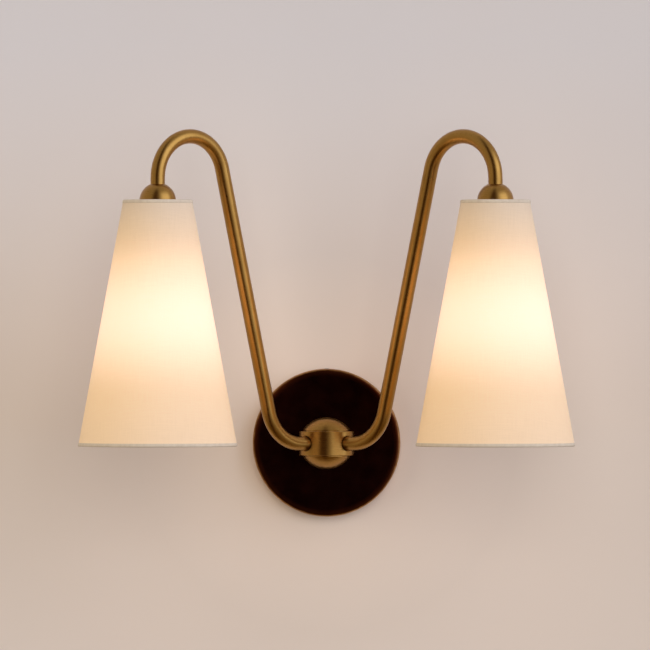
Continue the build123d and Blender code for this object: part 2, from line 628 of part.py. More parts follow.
for name, side in SIDES.items():
    lead_x = side * LEAD_SPACING / 2
    hub_corner_reach = LEAD_SPACING / 2 / cos(SWEEP)
    hub_corner = (lead_x, -HUB_REACH - hub_corner_reach * sin(SWEEP), 0)
    join_reach = ARM_INNER_END - LEAD_BEFORE_ARM
    join_place = (side * join_reach * cos(SWEEP), -HUB_REACH - join_reach * sin(SWEEP), 0)
    lead_end = (lead_x, -CLAMP_OFF_WALL, LEAD_END_Z)
    with BuildLine() as hub_route:
        FilletPolyline(
            lead_end,
            (lead_x, -CLAMP_OFF_WALL, 0),
            hub_corner,
            join_place,
            radius=(LEAD_DROP_RADIUS, LEAD_HUB_RADIUS),
        )
    lead_route = Wire(hub_route.edges() + arm_route(side, join_reach, LEAD_TOP_Z).edges())
    with BuildPart() as lead:
        with BuildSketch(Plane(origin=lead_end, x_dir=(1, 0, 0), z_dir=(0, 0, 1))):
            Circle(LEAD_DIA / 2)
        sweep(path=lead_route)
        for pole, depth in ((-1, -CORE_OFFSET), (1, CORE_OFFSET)):
            core_y = -CLAMP_OFF_WALL + depth
            core_start = (lead_x, core_y, LEAD_END_Z + CORE_IN_LEAD)
            core_x = pole * POLE_PITCH / 2 + side * CORE_SPREAD
            core_lag = 0 if pole == side else CORE_CROSSING_LAG
            with BuildLine() as core_route:
                FilletPolyline(
                    core_start,
                    (lead_x, core_y, CORE_PARTING_Z - core_lag),
                    (core_x, core_y, CORE_JOINING_Z - core_lag),
                    (core_x, core_y, CORE_TIP_Z),
                    radius=CORE_BEND_RADIUS,
                )
            with BuildSketch(Plane(origin=core_start, x_dir=(1, 0, 0), z_dir=(0, 0, -1))):
                Circle(CORE_DIA / 2)
            sweep(path=core_route.wire())
    write(lead, f"lead_{name}")

# ---------------------------------------------------------------- cups
# Spun brass dome over the top of each lampholder. The arm's end stands on its flat top.
CUP_RADIUS = CUP_DIA / 2
CUP_INNER_RADIUS = CUP_RADIUS - CUP_WALL
CUP_HOLE_RADIUS = NIPPLE_DIA / 2 + FIT_GAP
CUP_INNER_TOP_Z = CUP_CENTRE_Z + sqrt(CUP_INNER_RADIUS**2 - CUP_HOLE_RADIUS**2)

for name, side in SIDES.items():
    axis_x = side * SHADE_SPACING / 2
    with BuildPart() as cup:
        with BuildSketch(section_plane(axis_x, SHADE_AXIS_Y)):
            with BuildLine():
                Line((CUP_HOLE_RADIUS, CUP_TOP_Z), (CUP_FLAT_RADIUS, CUP_TOP_Z))
                RadiusArc((CUP_FLAT_RADIUS, CUP_TOP_Z), (CUP_RADIUS, CUP_CENTRE_Z), CUP_RADIUS)
                Polyline(
                    (CUP_RADIUS, CUP_CENTRE_Z),
                    (CUP_RADIUS, CUP_RIM_Z),
                    (CUP_INNER_RADIUS, CUP_RIM_Z),
                    (CUP_INNER_RADIUS, CUP_CENTRE_Z),
                )
                inner_start = (CUP_INNER_RADIUS, CUP_CENTRE_Z)
                RadiusArc(inner_start, (CUP_HOLE_RADIUS, CUP_INNER_TOP_Z), -CUP_INNER_RADIUS)
                Line((CUP_HOLE_RADIUS, CUP_INNER_TOP_Z), (CUP_HOLE_RADIUS, CUP_TOP_Z))
            make_face()
        revolve(axis=upright_axis(axis_x, SHADE_AXIS_Y))
    write(cup, f"cup_{name}")

# ---------------------------------------------------------------- threaded tubes into the lampholders
HOLDER_TUBE_TOP_Z = CUP_TOP_Z + 4.5
HOLDER_TUBE_BOTTOM_Z = CUP_TOP_Z - 7.0

for name, side in SIDES.items():
    with BuildPart() as holder_tube:
        with BuildSketch(Plane.XY.offset(HOLDER_TUBE_BOTTOM_Z)):
            with Locations((side * SHADE_SPACING / 2, SHADE_AXIS_Y)):
                Circle(NIPPLE_DIA / 2)
                Circle(NIPPLE_BORE / 2, mode=Mode.SUBTRACT)
        extrude(amount=HOLDER_TUBE_TOP_Z - HOLDER_TUBE_BOTTOM_Z)
        circles = holder_tube.edges().filter_by(GeomType.CIRCLE)
        holder_tube_rims = circles.sort_by(SortBy.RADIUS)[-2:]
        chamfer(holder_tube_rims, THREAD_CHAMFER)
    write(holder_tube, f"holder_tube_{name}")

# ---------------------------------------------------------------- lampholder caps
# Moulded upper half of each lampholder, under the cup, screwed onto the threaded tube.
HOLDER_JOINT_Z = 204.0
HOLDER_CAP_RADIUS = CUP_INNER_RADIUS - 0.5
HOLDER_CAP_TOP_RADIUS = 8.0
HOLDER_CAP_WALL = 2.0
HOLDER_CAP_TOP_WALL = 3.0

holder_cap_edge = sqrt(HOLDER_CAP_RADIUS**2 - (HOLDER_JOINT_Z - CUP_CENTRE_Z) ** 2)
holder_cap_top_z = CUP_CENTRE_Z + sqrt(HOLDER_CAP_RADIUS**2 - HOLDER_CAP_TOP_RADIUS**2)

for name, side in SIDES.items():
    axis_x = side * SHADE_SPACING / 2
    with BuildPart() as holder_cap:
        with BuildSketch(section_plane(axis_x, SHADE_AXIS_Y)):
            with BuildLine():
                Line((CUP_HOLE_RADIUS, holder_cap_top_z), (HOLDER_CAP_TOP_RADIUS, holder_cap_top_z))
                cap_edge = (holder_cap_edge, HOLDER_JOINT_Z)
                RadiusArc((HOLDER_CAP_TOP_RADIUS, holder_cap_top_z), cap_edge, HOLDER_CAP_RADIUS)
                Polyline(
                    cap_edge,
                    (holder_cap_edge - HOLDER_CAP_WALL, HOLDER_JOINT_Z),
                    (holder_cap_edge - HOLDER_CAP_WALL, HOLDER_JOINT_Z + HOLDER_CAP_TOP_WALL),
                    (HOLDER_CAP_TOP_RADIUS, holder_cap_top_z - HOLDER_CAP_TOP_WALL),
                    (CUP_HOLE_RADIUS, holder_cap_top_z - HOLDER_CAP_TOP_WALL),
                    (CUP_HOLE_RADIUS, holder_cap_top_z),
                )
            make_face()
        revolve(axis=upright_axis(axis_x, SHADE_AXIS_Y))
    write(holder_cap, f"holder_cap_{name}")

# ---------------------------------------------------------------- lampholder barrels
# Moulded barrel with an outer thread for the shade ring, and the screw shell's seat inside.
BARREL_DIA = 26.4
BARREL_BORE = 15.0
BARREL_MOUTH_DIA = 17.0
BARREL_MOUTH_DEPTH = 2.0
BARREL_CHAMFER = 1.0
BARREL_SEAT_Z = 188.0
BARREL_WIRE_BORE = 7.0
THREAD_PITCH = 2.0
THREAD_DEPTH = 0.35
GROOVE_SHARE = 0.6  # of the pitch, that each groove of the thread takes up
FITTER_TOP_Z = CUP_RIM_Z - FREE_GAP
FITTER_THICKNESS = 1.2
RING_TOP_Z = FITTER_TOP_Z - FITTER_THICKNESS - FREE_GAP
THREAD_TOP_Z = CUP_RIM_Z
THREAD_BOTTOM_Z = RING_TOP_Z - RING_TRAVEL
THREAD_TURNS = int((THREAD_TOP_Z - THREAD_BOTTOM_Z) / THREAD_PITCH)

for name, side in SIDES.items():
    axis_x = side * SHADE_SPACING / 2
    with BuildPart() as holder_barrel:
        with BuildSketch(section_plane(axis_x, SHADE_AXIS_Y)):
            with BuildLine():
                Polyline(
                    (BARREL_WIRE_BORE / 2, HOLDER_JOINT_Z),
                    (holder_cap_edge, HOLDER_JOINT_Z),
                    (holder_cap_edge, THREAD_TOP_Z),
                    (BARREL_THREAD_DIA / 2, THREAD_TOP_Z),
                    (BARREL_THREAD_DIA / 2, THREAD_BOTTOM_Z),
                    (BARREL_DIA / 2, THREAD_BOTTOM_Z),
                    (BARREL_DIA / 2, BARREL_BOTTOM_Z + BARREL_CHAMFER),
                    (BARREL_DIA / 2 - BARREL_CHAMFER, BARREL_BOTTOM_Z),
                    (BARREL_MOUTH_DIA / 2, BARREL_BOTTOM_Z),
                    (BARREL_MOUTH_DIA / 2, BARREL_BOTTOM_Z + BARREL_MOUTH_DEPTH),
                    (BARREL_BORE / 2, BARREL_BOTTOM_Z + BARREL_MOUTH_DEPTH),
                    (BARREL_BORE / 2, BARREL_SEAT_Z),
                    (BARREL_WIRE_BORE / 2, BARREL_SEAT_Z),
                    close=True,
                )
            make_face()
            for turn in range(THREAD_TURNS):
                groove_z = THREAD_BOTTOM_Z + (turn + 0.5) * THREAD_PITCH
                half_groove = THREAD_PITCH * GROOVE_SHARE / 2
                with BuildLine():
                    Polyline(
                        (BARREL_THREAD_DIA / 2, groove_z + half_groove),
                        (BARREL_THREAD_DIA / 2 - THREAD_DEPTH, groove_z),
                        (BARREL_THREAD_DIA / 2, groove_z - half_groove),
                        close=True,
                    )
                make_face(mode=Mode.SUBTRACT)
        revolve(axis=upright_axis(axis_x, SHADE_AXIS_Y))
    write(holder_barrel, f"holder_barrel_{name}")

# ---------------------------------------------------------------- screw shells and centre contacts
SHELL_WALL = 0.4
SHELL_TOP_Z = 185.2
SHELL_BOTTOM_Z = BARREL_BOTTOM_Z + BARREL_MOUTH_DEPTH
SHELL_HOLE_DIA = 6.4
CONTACT_DIA = 4.4
CONTACT_BOTTOM_Z = 184.6
CONTACT_ROUNDING = 1.4
CONTACT_LEAF_DIA = 14.0
CONTACT_LEAF_THICKNESS = 0.6

for name, side in SIDES.items():
    axis_x = side * SHADE_SPACING / 2
    shell_outer = BARREL_BORE / 2 - FIT_GAP
    shell_inner = LAMP_CAP_DIA / 2 + RUNNING_GAP
    with BuildPart() as screw_shell:
        with BuildSketch(section_plane(axis_x, SHADE_AXIS_Y)):
            with BuildLine():
                Polyline(
                    (SHELL_HOLE_DIA / 2, SHELL_TOP_Z),
                    (shell_outer, SHELL_TOP_Z),
                    (shell_outer, SHELL_BOTTOM_Z),
                    (shell_inner, SHELL_BOTTOM_Z),
                    (shell_inner, SHELL_TOP_Z - SHELL_WALL),
                    (SHELL_HOLE_DIA / 2, SHELL_TOP_Z - SHELL_WALL),
                    close=True,
                )
            make_face()
        revolve(axis=upright_axis(axis_x, SHADE_AXIS_Y))
    write(screw_shell, f"screw_shell_{name}")

    with BuildPart() as centre_contact:
        with BuildSketch(Plane.XY.offset(CONTACT_BOTTOM_Z)):
            with Locations((axis_x, SHADE_AXIS_Y)):
                Circle(CONTACT_DIA / 2)
        extrude(amount=BARREL_SEAT_Z - CONTACT_BOTTOM_Z)
        with BuildSketch(Plane.XY.offset(BARREL_SEAT_Z - CONTACT_LEAF_THICKNESS)):
            with Locations((axis_x, SHADE_AXIS_Y)):
                Circle(CONTACT_LEAF_DIA / 2)
        extrude(amount=CONTACT_LEAF_THICKNESS)
        fillet(centre_contact.edges().sort_by(Axis.Z)[0], CONTACT_ROUNDING)
    write(centre_contact, f"centre_contact_{name}")

# ---------------------------------------------------------------- shade rings
# Turned ring on the barrel's thread, with a milled flange under the shade's fitter. It unscrews downward.
RING_HUB_DIA = 32.0
RING_HEIGHT = 6.0
RING_FLANGE_HEIGHT = 2.4
RING_FLUTES = 36
FLUTE_DIA = 1.6
RING_CHAMFER = 0.6

for name, side in SIDES.items():
    axis_x = side * SHADE_SPACING / 2
    with BuildPart() as shade_ring:
        with BuildSketch(Plane.XY.offset(RING_TOP_Z)):
            with Locations((axis_x, SHADE_AXIS_Y)):
                Circle(RING_DIA / 2)
                Circle(BARREL_THREAD_DIA / 2 + RUNNING_GAP, mode=Mode.SUBTRACT)
                with PolarLocations(RING_DIA / 2, RING_FLUTES):
                    Circle(FLUTE_DIA / 2, mode=Mode.SUBTRACT)
        extrude(amount=-RING_FLANGE_HEIGHT)
        with BuildSketch(Plane.XY.offset(RING_TOP_Z - RING_FLANGE_HEIGHT)):
            with Locations((axis_x, SHADE_AXIS_Y)):
                Circle(RING_HUB_DIA / 2)
                Circle(BARREL_THREAD_DIA / 2 + RUNNING_GAP, mode=Mode.SUBTRACT)
        extrude(amount=RING_FLANGE_HEIGHT - RING_HEIGHT)
        lowest = shade_ring.edges().filter_by(GeomType.CIRCLE).group_by(Axis.Z)[0]
        chamfer(lowest.sort_by(SortBy.RADIUS)[-1], RING_CHAMFER)
    write(shade_ring, f"shade_ring_{name}")

# ---------------------------------------------------------------- shades
WIRE_SLACK = 0.1  # between the wires and the fabric
CONE_EDGE_INSET = 0.8  # of the cone's edges from the trims' edges
SHADE_SLOPE = (SHADE_BOTTOM_DIA - SHADE_TOP_DIA) / 2 / (SHADE_TOP_Z - SHADE_BOTTOM_Z)
WALL_ACROSS = SHADE_WALL * sqrt(1 + SHADE_SLOPE**2)  # the cone's wall, measured level
WIRE_INSET = WALL_ACROSS + WIRE_SLACK + SHADE_WIRE_DIA / 2
WIRE_EDGE = TRIM_WALL + WIRE_SLACK + SHADE_WIRE_DIA / 2
TRIM_INNER_INSET = WIRE_INSET + SHADE_WIRE_DIA / 2 + TRIM_WALL
TRIM_ROUNDING = 1.1
FITTER_HOLE_DIA = BARREL_THREAD_DIA + 2 * FREE_GAP
FITTER_WASHER_DIA = 41.0
SPOKE_DIA = 2.2
SPOKE_ON_WASHER = 1.6  # how far each spoke's foot lies in from the washer's edge
SPOKE_START = 90.0  # degrees, the first spoke points at the wall


def shade_radius(height):
    """The outer radius of the shade's fabric at a height."""
    return SHADE_TOP_DIA / 2 + (SHADE_TOP_Z - height) * SHADE_SLOPE


def cone_points(top, bottom):
    """The four corners of the cone wall's section between two heights."""
    return (
        (shade_radius(top), top),
        (shade_radius(bottom), bottom),
        (shade_radius(bottom) - WALL_ACROSS, bottom),
        (shade_radius(top) - WALL_ACROSS, top),
    )


TOP_WIRE_Z = SHADE_TOP_Z - WIRE_EDGE
BOTTOM_WIRE_Z = SHADE_BOTTOM_Z + WIRE_EDGE
CONE_TOP_Z = SHADE_TOP_Z - CONE_EDGE_INSET
CONE_BOTTOM_Z = SHADE_BOTTOM_Z + CONE_EDGE_INSET
SPOKE_INNER_RADIUS = FITTER_WASHER_DIA / 2 - SPOKE_ON_WASHER
SPOKE_FOOT_Z = FITTER_TOP_Z - FITTER_THICKNESS / 2


def spoke_ends(axis_x, spoke):
    """Where a fitter's spoke starts on the washer and ends in the top wire ring."""
    angle = radians(SPOKE_START + 360 / FITTER_SPOKES * spoke)
    outward = Vector(cos(angle), sin(angle), 0)
    centre = Vector(axis_x, SHADE_AXIS_Y, 0)
    foot = centre + outward * SPOKE_INNER_RADIUS + Vector(0, 0, SPOKE_FOOT_Z)
    head = centre + outward * (shade_radius(TOP_WIRE_Z) - WIRE_INSET) + Vector(0, 0, TOP_WIRE_Z)
    return foot, head


for name, side in SIDES.items():
    axis_x = side * SHADE_SPACING / 2
    shade_axis = upright_axis(axis_x, SHADE_AXIS_Y)
    shade_section = section_plane(axis_x, SHADE_AXIS_Y)

    # Linen bonded to a stiff liner, rolled into a cone and lapped at the back
    with BuildPart() as shade_cone:
        with BuildSketch(shade_section):
            with BuildLine():
                Polyline(*cone_points(CONE_TOP_Z, CONE_BOTTOM_Z), close=True)
            make_face()
        revolve(axis=shade_axis)
    write(shade_cone, f"shade_cone_{name}")

    # The same linen rolled over the wire and the cone's edge, at the top and at the bottom
    with BuildPart() as shade_trim:
        for outer_edge, inner_edge, wire_z in (
            (SHADE_TOP_Z, SHADE_TOP_Z - TRIM_HEIGHT, TOP_WIRE_Z),
            (SHADE_BOTTOM_Z, SHADE_BOTTOM_Z + TRIM_HEIGHT, BOTTOM_WIRE_Z),
        ):
            with BuildSketch(shade_section):
                with BuildLine():
                    Polyline(
                        (shade_radius(outer_edge) + TRIM_WALL, outer_edge),
                        (shade_radius(inner_edge) + TRIM_WALL, inner_edge),
                        (shade_radius(inner_edge) - TRIM_INNER_INSET, inner_edge),
                        (shade_radius(outer_edge) - TRIM_INNER_INSET, outer_edge),
                        close=True,
                    )
                roll = make_face()
                lip = (shade_radius(inner_edge) + TRIM_WALL, inner_edge, 0)
                fillet(roll.vertices().sort_by_distance(lip)[1:], TRIM_ROUNDING)
                with BuildLine():
                    Polyline(*cone_points(CONE_TOP_Z + FIT_GAP, CONE_BOTTOM_Z - FIT_GAP), close=True)
                make_face(mode=Mode.SUBTRACT)
                with Locations((shade_radius(wire_z) - WIRE_INSET, wire_z)):
                    Circle(SHADE_WIRE_DIA / 2 + FIT_GAP, mode=Mode.SUBTRACT)
            revolve(axis=shade_axis)
        for spoke in range(FITTER_SPOKES):
            foot, head = spoke_ends(axis_x, spoke)
            with BuildSketch(Plane(origin=foot, z_dir=head - foot)):
                Circle(SPOKE_DIA / 2 + FIT_GAP)
            extrude(amount=(head - foot).length, mode=Mode.SUBTRACT)
    write(shade_trim, f"shade_trim_{name}")

    # Steel fitter, welded into one: a washer, its spokes and the wire ring in the top trim
    with BuildPart() as shade_fitter:
        with BuildSketch(Plane.XY.offset(FITTER_TOP_Z)):
            with Locations((axis_x, SHADE_AXIS_Y)):
                Circle(FITTER_WASHER_DIA / 2)
                Circle(FITTER_HOLE_DIA / 2, mode=Mode.SUBTRACT)
        extrude(amount=-FITTER_THICKNESS)
        with BuildSketch(shade_section):
            with Locations((shade_radius(TOP_WIRE_Z) - WIRE_INSET, TOP_WIRE_Z)):
                Circle(SHADE_WIRE_DIA / 2)
        revolve(axis=shade_axis)
        for spoke in range(FITTER_SPOKES):
            foot, head = spoke_ends(axis_x, spoke)
            with BuildSketch(Plane(origin=foot, z_dir=head - foot)):
                Circle(SPOKE_DIA / 2)
            extrude(amount=(head - foot).length)
    write(shade_fitter, f"shade_fitter_{name}")

    with BuildPart() as shade_wire:
        with BuildSketch(shade_section):
            with Locations((shade_radius(BOTTOM_WIRE_Z) - WIRE_INSET, BOTTOM_WIRE_Z)):
                Circle(SHADE_WIRE_DIA / 2)
        revolve(axis=shade_axis)
    write(shade_wire, f"shade_wire_{name}")

# ---------------------------------------------------------------- lamps
# Frosted tubular lamp with a small screw cap. It is slim enough for the shade ring to pass over it.
LAMP_GLASS_WALL = 0.9
LAMP_NECK_DIA = 12.6
LAMP_NECK_LENGTH = 6.0  # of the glass inside the cap
LAMP_SHOULDER_Z = 147.0
LAMP_CAP_BOTTOM_Z = 155.5
LAMP_CAP_TOP_Z = 180.5
LAMP_CAP_WALL = 0.4
LAMP_CAP_END_WALL = 1.2
LAMP_CAP_CHAMFER = 1.0
LAMP_TIP_Z = CONTACT_BOTTOM_Z - 0.1
LAMP_CORNER_RADIUS = 8.0
INSULATOR_DIA = 9.0
INSULATOR_HEIGHT = 3.2
INSULATOR_TAPER = 20.0  # degrees
TIP_DIA = 4.6
TIP_ROUNDING = 0.8
TIP_IN_INSULATOR = 0.8
STEM_DIA = 4.0
EMITTER_DIA = 9.0
EMITTER_ROUNDING = 2.0
STEM_IN_EMITTER = 1.0
EMITTER_TOP_Z = 138.0
EMITTER_BOTTOM_Z = 90.0

glass_radius = LAMP_DIA / 2
neck_radius = LAMP_NECK_DIA / 2
cap_radius = LAMP_CAP_DIA / 2
neck_top_z = LAMP_CAP_BOTTOM_Z + LAMP_NECK_LENGTH
insulator_base_z = LAMP_CAP_TOP_Z - LAMP_CAP_END_WALL

for name, side in SIDES.items():
    axis_x = side * SHADE_SPACING / 2
    lamp_axis = upright_axis(axis_x, SHADE_AXIS_Y)
    lamp_section = section_plane(axis_x, SHADE_AXIS_Y)

    with BuildPart() as lamp_glass:
        for shrink, mode in ((0, Mode.ADD), (LAMP_GLASS_WALL, Mode.SUBTRACT)):
            radius = glass_radius - shrink
            corner = LAMP_CORNER_RADIUS - shrink
            end_z = LAMP_BOTTOM_Z + shrink
            with BuildSketch(lamp_section):
                with BuildLine():
                    Line((0, neck_top_z), (0, end_z))
                    Line((0, end_z), (radius - corner, end_z))
                    RadiusArc((radius - corner, end_z), (radius, end_z + corner), -corner)
                    Polyline(
                        (radius, end_z + corner),
                        (radius, LAMP_SHOULDER_Z),
                        (neck_radius - shrink, LAMP_CAP_BOTTOM_Z),
                        (neck_radius - shrink, neck_top_z),
                        (0, neck_top_z),
                    )
                make_face()
            revolve(axis=lamp_axis, mode=mode)
    write(lamp_glass, f"lamp_glass_{name}")

    # Nickelled screw cap over the glass's neck
    with BuildPart() as lamp_cap:
        with BuildSketch(lamp_section):
            with BuildLine():
                Polyline(
                    (INSULATOR_DIA / 2, LAMP_CAP_TOP_Z),
                    (cap_radius - LAMP_CAP_CHAMFER, LAMP_CAP_TOP_Z),
                    (cap_radius, LAMP_CAP_TOP_Z - LAMP_CAP_CHAMFER),
                    (cap_radius, LAMP_CAP_BOTTOM_Z),
                    (cap_radius - LAMP_CAP_WALL, LAMP_CAP_BOTTOM_Z),
                    (cap_radius - LAMP_CAP_WALL, insulator_base_z),
                    (INSULATOR_DIA / 2, insulator_base_z),
                    close=True,
                )
            make_face()
        revolve(axis=lamp_axis)
    write(lamp_cap, f"lamp_cap_{name}")

    # Black insulator with the soldered contact on it
    with BuildPart() as lamp_tip:
        with BuildSketch(Plane.XY.offset(insulator_base_z)):
            with Locations((axis_x, SHADE_AXIS_Y)):
                Circle(INSULATOR_DIA / 2 - FIT_GAP)
        extrude(amount=INSULATOR_HEIGHT, taper=INSULATOR_TAPER)
        tip_foot_z = insulator_base_z + INSULATOR_HEIGHT - TIP_IN_INSULATOR
        with BuildSketch(Plane.XY.offset(tip_foot_z)):
            with Locations((axis_x, SHADE_AXIS_Y)):
                Circle(TIP_DIA / 2)
        extrude(amount=LAMP_TIP_Z - tip_foot_z)
        fillet(lamp_tip.edges().sort_by(Axis.Z)[-1], TIP_ROUNDING)
    write(lamp_tip, f"lamp_tip_{name}")

    # Light source on its stem, inside the glass
    with BuildPart() as lamp_emitter:
        with BuildSketch(Plane.XY.offset(EMITTER_BOTTOM_Z)):
            with Locations((axis_x, SHADE_AXIS_Y)):
                Circle(EMITTER_DIA / 2)
        extrude(amount=EMITTER_TOP_Z - EMITTER_BOTTOM_Z)
        fillet(lamp_emitter.edges().filter_by(GeomType.CIRCLE), EMITTER_ROUNDING)
        stem_foot_z = EMITTER_TOP_Z - STEM_IN_EMITTER
        with BuildSketch(Plane.XY.offset(stem_foot_z)):
            with Locations((axis_x, SHADE_AXIS_Y)):
                Circle(STEM_DIA / 2)
        extrude(amount=insulator_base_z - FIT_GAP - stem_foot_z)
    write(lamp_emitter, f"lamp_emitter_{name}")
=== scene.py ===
from math import atan2, cos, hypot, pi, radians, sin

import bpy
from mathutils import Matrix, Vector


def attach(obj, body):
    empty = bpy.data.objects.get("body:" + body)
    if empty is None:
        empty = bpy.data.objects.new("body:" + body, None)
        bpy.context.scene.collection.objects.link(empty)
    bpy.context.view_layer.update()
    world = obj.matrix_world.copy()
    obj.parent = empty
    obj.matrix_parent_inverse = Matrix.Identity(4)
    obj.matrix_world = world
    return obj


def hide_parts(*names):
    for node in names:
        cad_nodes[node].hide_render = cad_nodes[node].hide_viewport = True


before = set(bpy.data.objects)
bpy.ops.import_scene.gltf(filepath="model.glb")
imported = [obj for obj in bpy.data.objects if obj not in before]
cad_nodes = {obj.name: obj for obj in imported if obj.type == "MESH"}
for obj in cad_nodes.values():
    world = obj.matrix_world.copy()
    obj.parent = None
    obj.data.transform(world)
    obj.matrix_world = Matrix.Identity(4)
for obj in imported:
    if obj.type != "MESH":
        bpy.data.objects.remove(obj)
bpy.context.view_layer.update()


# ---------------------------------------------------------------- bracket, rim screws and lock washer
# The strap that is screwed to the wall box, the two socket screws that hold the plate to its tabs, and the
# toothed washer behind the plate. All are steel with a thin, cloudy, slightly yellow coat of zinc.

ZINC = (0.52, 0.53, 0.55)
YELLOWED_ZINC = (0.62, 0.57, 0.46)
FINE_RELIEF = 0.0001


def start_finish(name):
    """A new finish: its material, its node tree and the shader that the nodes are linked to."""
    made = bpy.data.materials.new(name)
    made.use_nodes = True
    return made, made.node_tree, made.node_tree.nodes["Principled BSDF"]


def start_metal(name):
    """A new finish of bare or plated metal."""
    made, tree, shader = start_finish(name)
    shader.inputs["Metallic"].default_value = 1.0
    return made, tree, shader


def add_node(tree, kind, **values):
    """A shader node, with its settings and its inputs' values given by name."""
    node = tree.nodes.new("ShaderNode" + kind)
    for name, value in values.items():
        if hasattr(node, name):
            setattr(node, name, value)
        else:
            node.inputs[name.replace("_", " ")].default_value = value
    return node


def place_on_object(tree, middle=(0, 0, 0), turn=(0, 0, 0), stretch=(1, 1, 1)):
    """The object's own coordinates, centred on a place, turned and stretched."""
    where = add_node(tree, "TexCoord")
    moved = add_node(tree, "Mapping")
    moved.inputs["Location"].default_value = [-m for m in middle]
    turned = add_node(tree, "Mapping")
    turned.inputs["Rotation"].default_value = turn
    turned.inputs["Scale"].default_value = stretch
    tree.links.new(where.outputs["Object"], moved.inputs["Vector"])
    tree.links.new(moved.outputs["Vector"], turned.inputs["Vector"])
    return turned.outputs["Vector"]


def add_noise(tree, place, scale, detail=3.0, roughness=0.55):
    """Noise at a number of cells per metre."""
    noise = add_node(tree, "TexNoise", Scale=scale, Detail=detail, Roughness=roughness)
    tree.links.new(place, noise.inputs["Vector"])
    return noise.outputs["Fac"]


def spread(tree, value, low, high, to_low=0, to_high=1):
    """Maps a value's range from low..high to another range, from none to all unless said."""
    ramp = add_node(tree, "MapRange", From_Min=low, From_Max=high, To_Min=to_low, To_Max=to_high)
    tree.links.new(value, ramp.inputs["Value"])
    return ramp.outputs["Result"]


def colour_sockets(sockets):
    """The sockets of a mixing node that carry colours."""
    return [socket for socket in sockets if socket.type == "RGBA"]


def mix_colours(tree, share, first, second, blend_type="MIX"):
    """A colour between two, each a colour or another node's colour."""
    mix = add_node(tree, "Mix", data_type="RGBA", blend_type=blend_type)
    tree.links.new(share, mix.inputs["Factor"])
    for socket, colour in zip(colour_sockets(mix.inputs), (first, second)):
        if isinstance(colour, tuple):
            socket.default_value = (*colour, 1)
        else:
            tree.links.new(colour, socket)
    return colour_sockets(mix.outputs)[0]


def give_tones(tree, shader, share, first, second):
    """Colours a finish between two tones, by a share that varies over it."""
    tree.links.new(mix_colours(tree, share, first, second), shader.inputs["Base Color"])


def add_bump(tree, shader, height, strength, depth=FINE_RELIEF):
    """Bump from a height, over whatever bump the shader has already."""
    bump = add_node(tree, "Bump", Strength=strength, Distance=depth)
    tree.links.new(height, bump.inputs["Height"])
    earlier = shader.inputs["Normal"].links
    if earlier:
        tree.links.new(earlier[0].from_socket, bump.inputs["Normal"])
    tree.links.new(bump.outputs["Normal"], shader.inputs["Normal"])


def give_finish(material, *names):
    """Gives a finish to whole nodes of the frame."""
    for name in names:
        mesh = cad_nodes[name].data
        mesh.materials.clear()
        mesh.materials.append(material)


zinc, tree, shader = start_metal("zinc_coat")
place = place_on_object(tree)
clouds = add_noise(tree, place, 160, 4)
yellowing = spread(tree, clouds, 0.35, 0.7)
give_tones(tree, shader, yellowing, ZINC, YELLOWED_ZINC)
tree.links.new(spread(tree, clouds, 0.3, 0.7, 0.28, 0.46), shader.inputs["Roughness"])
add_bump(tree, shader, add_noise(tree, place, 2600, 2), 0.15)
give_finish(zinc, "wall_bracket", "rim_screws", "lock_washer")


# ---------------------------------------------------------------- brass fittings
# Nuts, threaded tubes, clamps and small screws are plain turned brass, dulled by handling. Turning leaves
# fine rings, and the threads on the tubes are rolled.

SIDES = {"left": -1, "right": 1}
BRASS = (0.72, 0.52, 0.20)
DULLED_BRASS = (0.46, 0.31, 0.12)
THREAD_PITCH = 0.001
THREAD_DEPTH = 0.0004


def both(*names):
    """The names of a left and a right node each."""
    return [f"{name}_{side}" for name in names for side in SIDES]


def add_bands(tree, place, along, pitch, **values):
    """Evenly spaced bands across one way, such as a thread's turns or a cloth's yarns."""
    bands = add_node(
        tree, "TexWave", wave_type="BANDS", bands_direction=along, Scale=pi / 10 / pitch, **values
    )
    tree.links.new(place, bands.inputs["Vector"])
    return bands.outputs["Fac"]


plain_brass, tree, shader = start_metal("plain_brass")
place = place_on_object(tree)
tarnish = spread(tree, add_noise(tree, place, 220, 4), 0.38, 0.68)
give_tones(tree, shader, tarnish, BRASS, DULLED_BRASS)
tree.links.new(spread(tree, tarnish, 0, 1, 0.24, 0.45), shader.inputs["Roughness"])
add_bump(tree, shader, add_noise(tree, place, 3000, 2), 0.2)
give_finish(
    plain_brass, "plate_nut", "hub_nut", "earth_screw", "terminal_clamps", "block_screw",
    *both("arm_nut", "screw_shell", "centre_contact"),
)

for along, names in (("Y", ["neck_tube"]), ("Z", both("holder_tube"))):
    finish = plain_brass.copy()
    finish.name = f"threaded_brass_{along.lower()}"
    tree = finish.node_tree
    shader = tree.nodes["Principled BSDF"]
    thread = add_bands(tree, place_on_object(tree), along, THREAD_PITCH)
    add_bump(tree, shader, thread, 0.8, THREAD_DEPTH)
    give_finish(finish, *names)


# ---------------------------------------------------------------- terminal block and wiring
# A moulded block in a creamy hard plastic. The leads run from it through neck, hub and arms to the
# lampholders: round cords in a gold coloured sheath, and a green earth wire with crimped tags.

CREAM = (0.74, 0.71, 0.62)
GOLD = (0.48, 0.36, 0.17)
GREEN = (0.07, 0.26, 0.06)


def darken(colour, share):
    """A colour with its brightness cut to a share."""
    return tuple(channel * share for channel in colour)


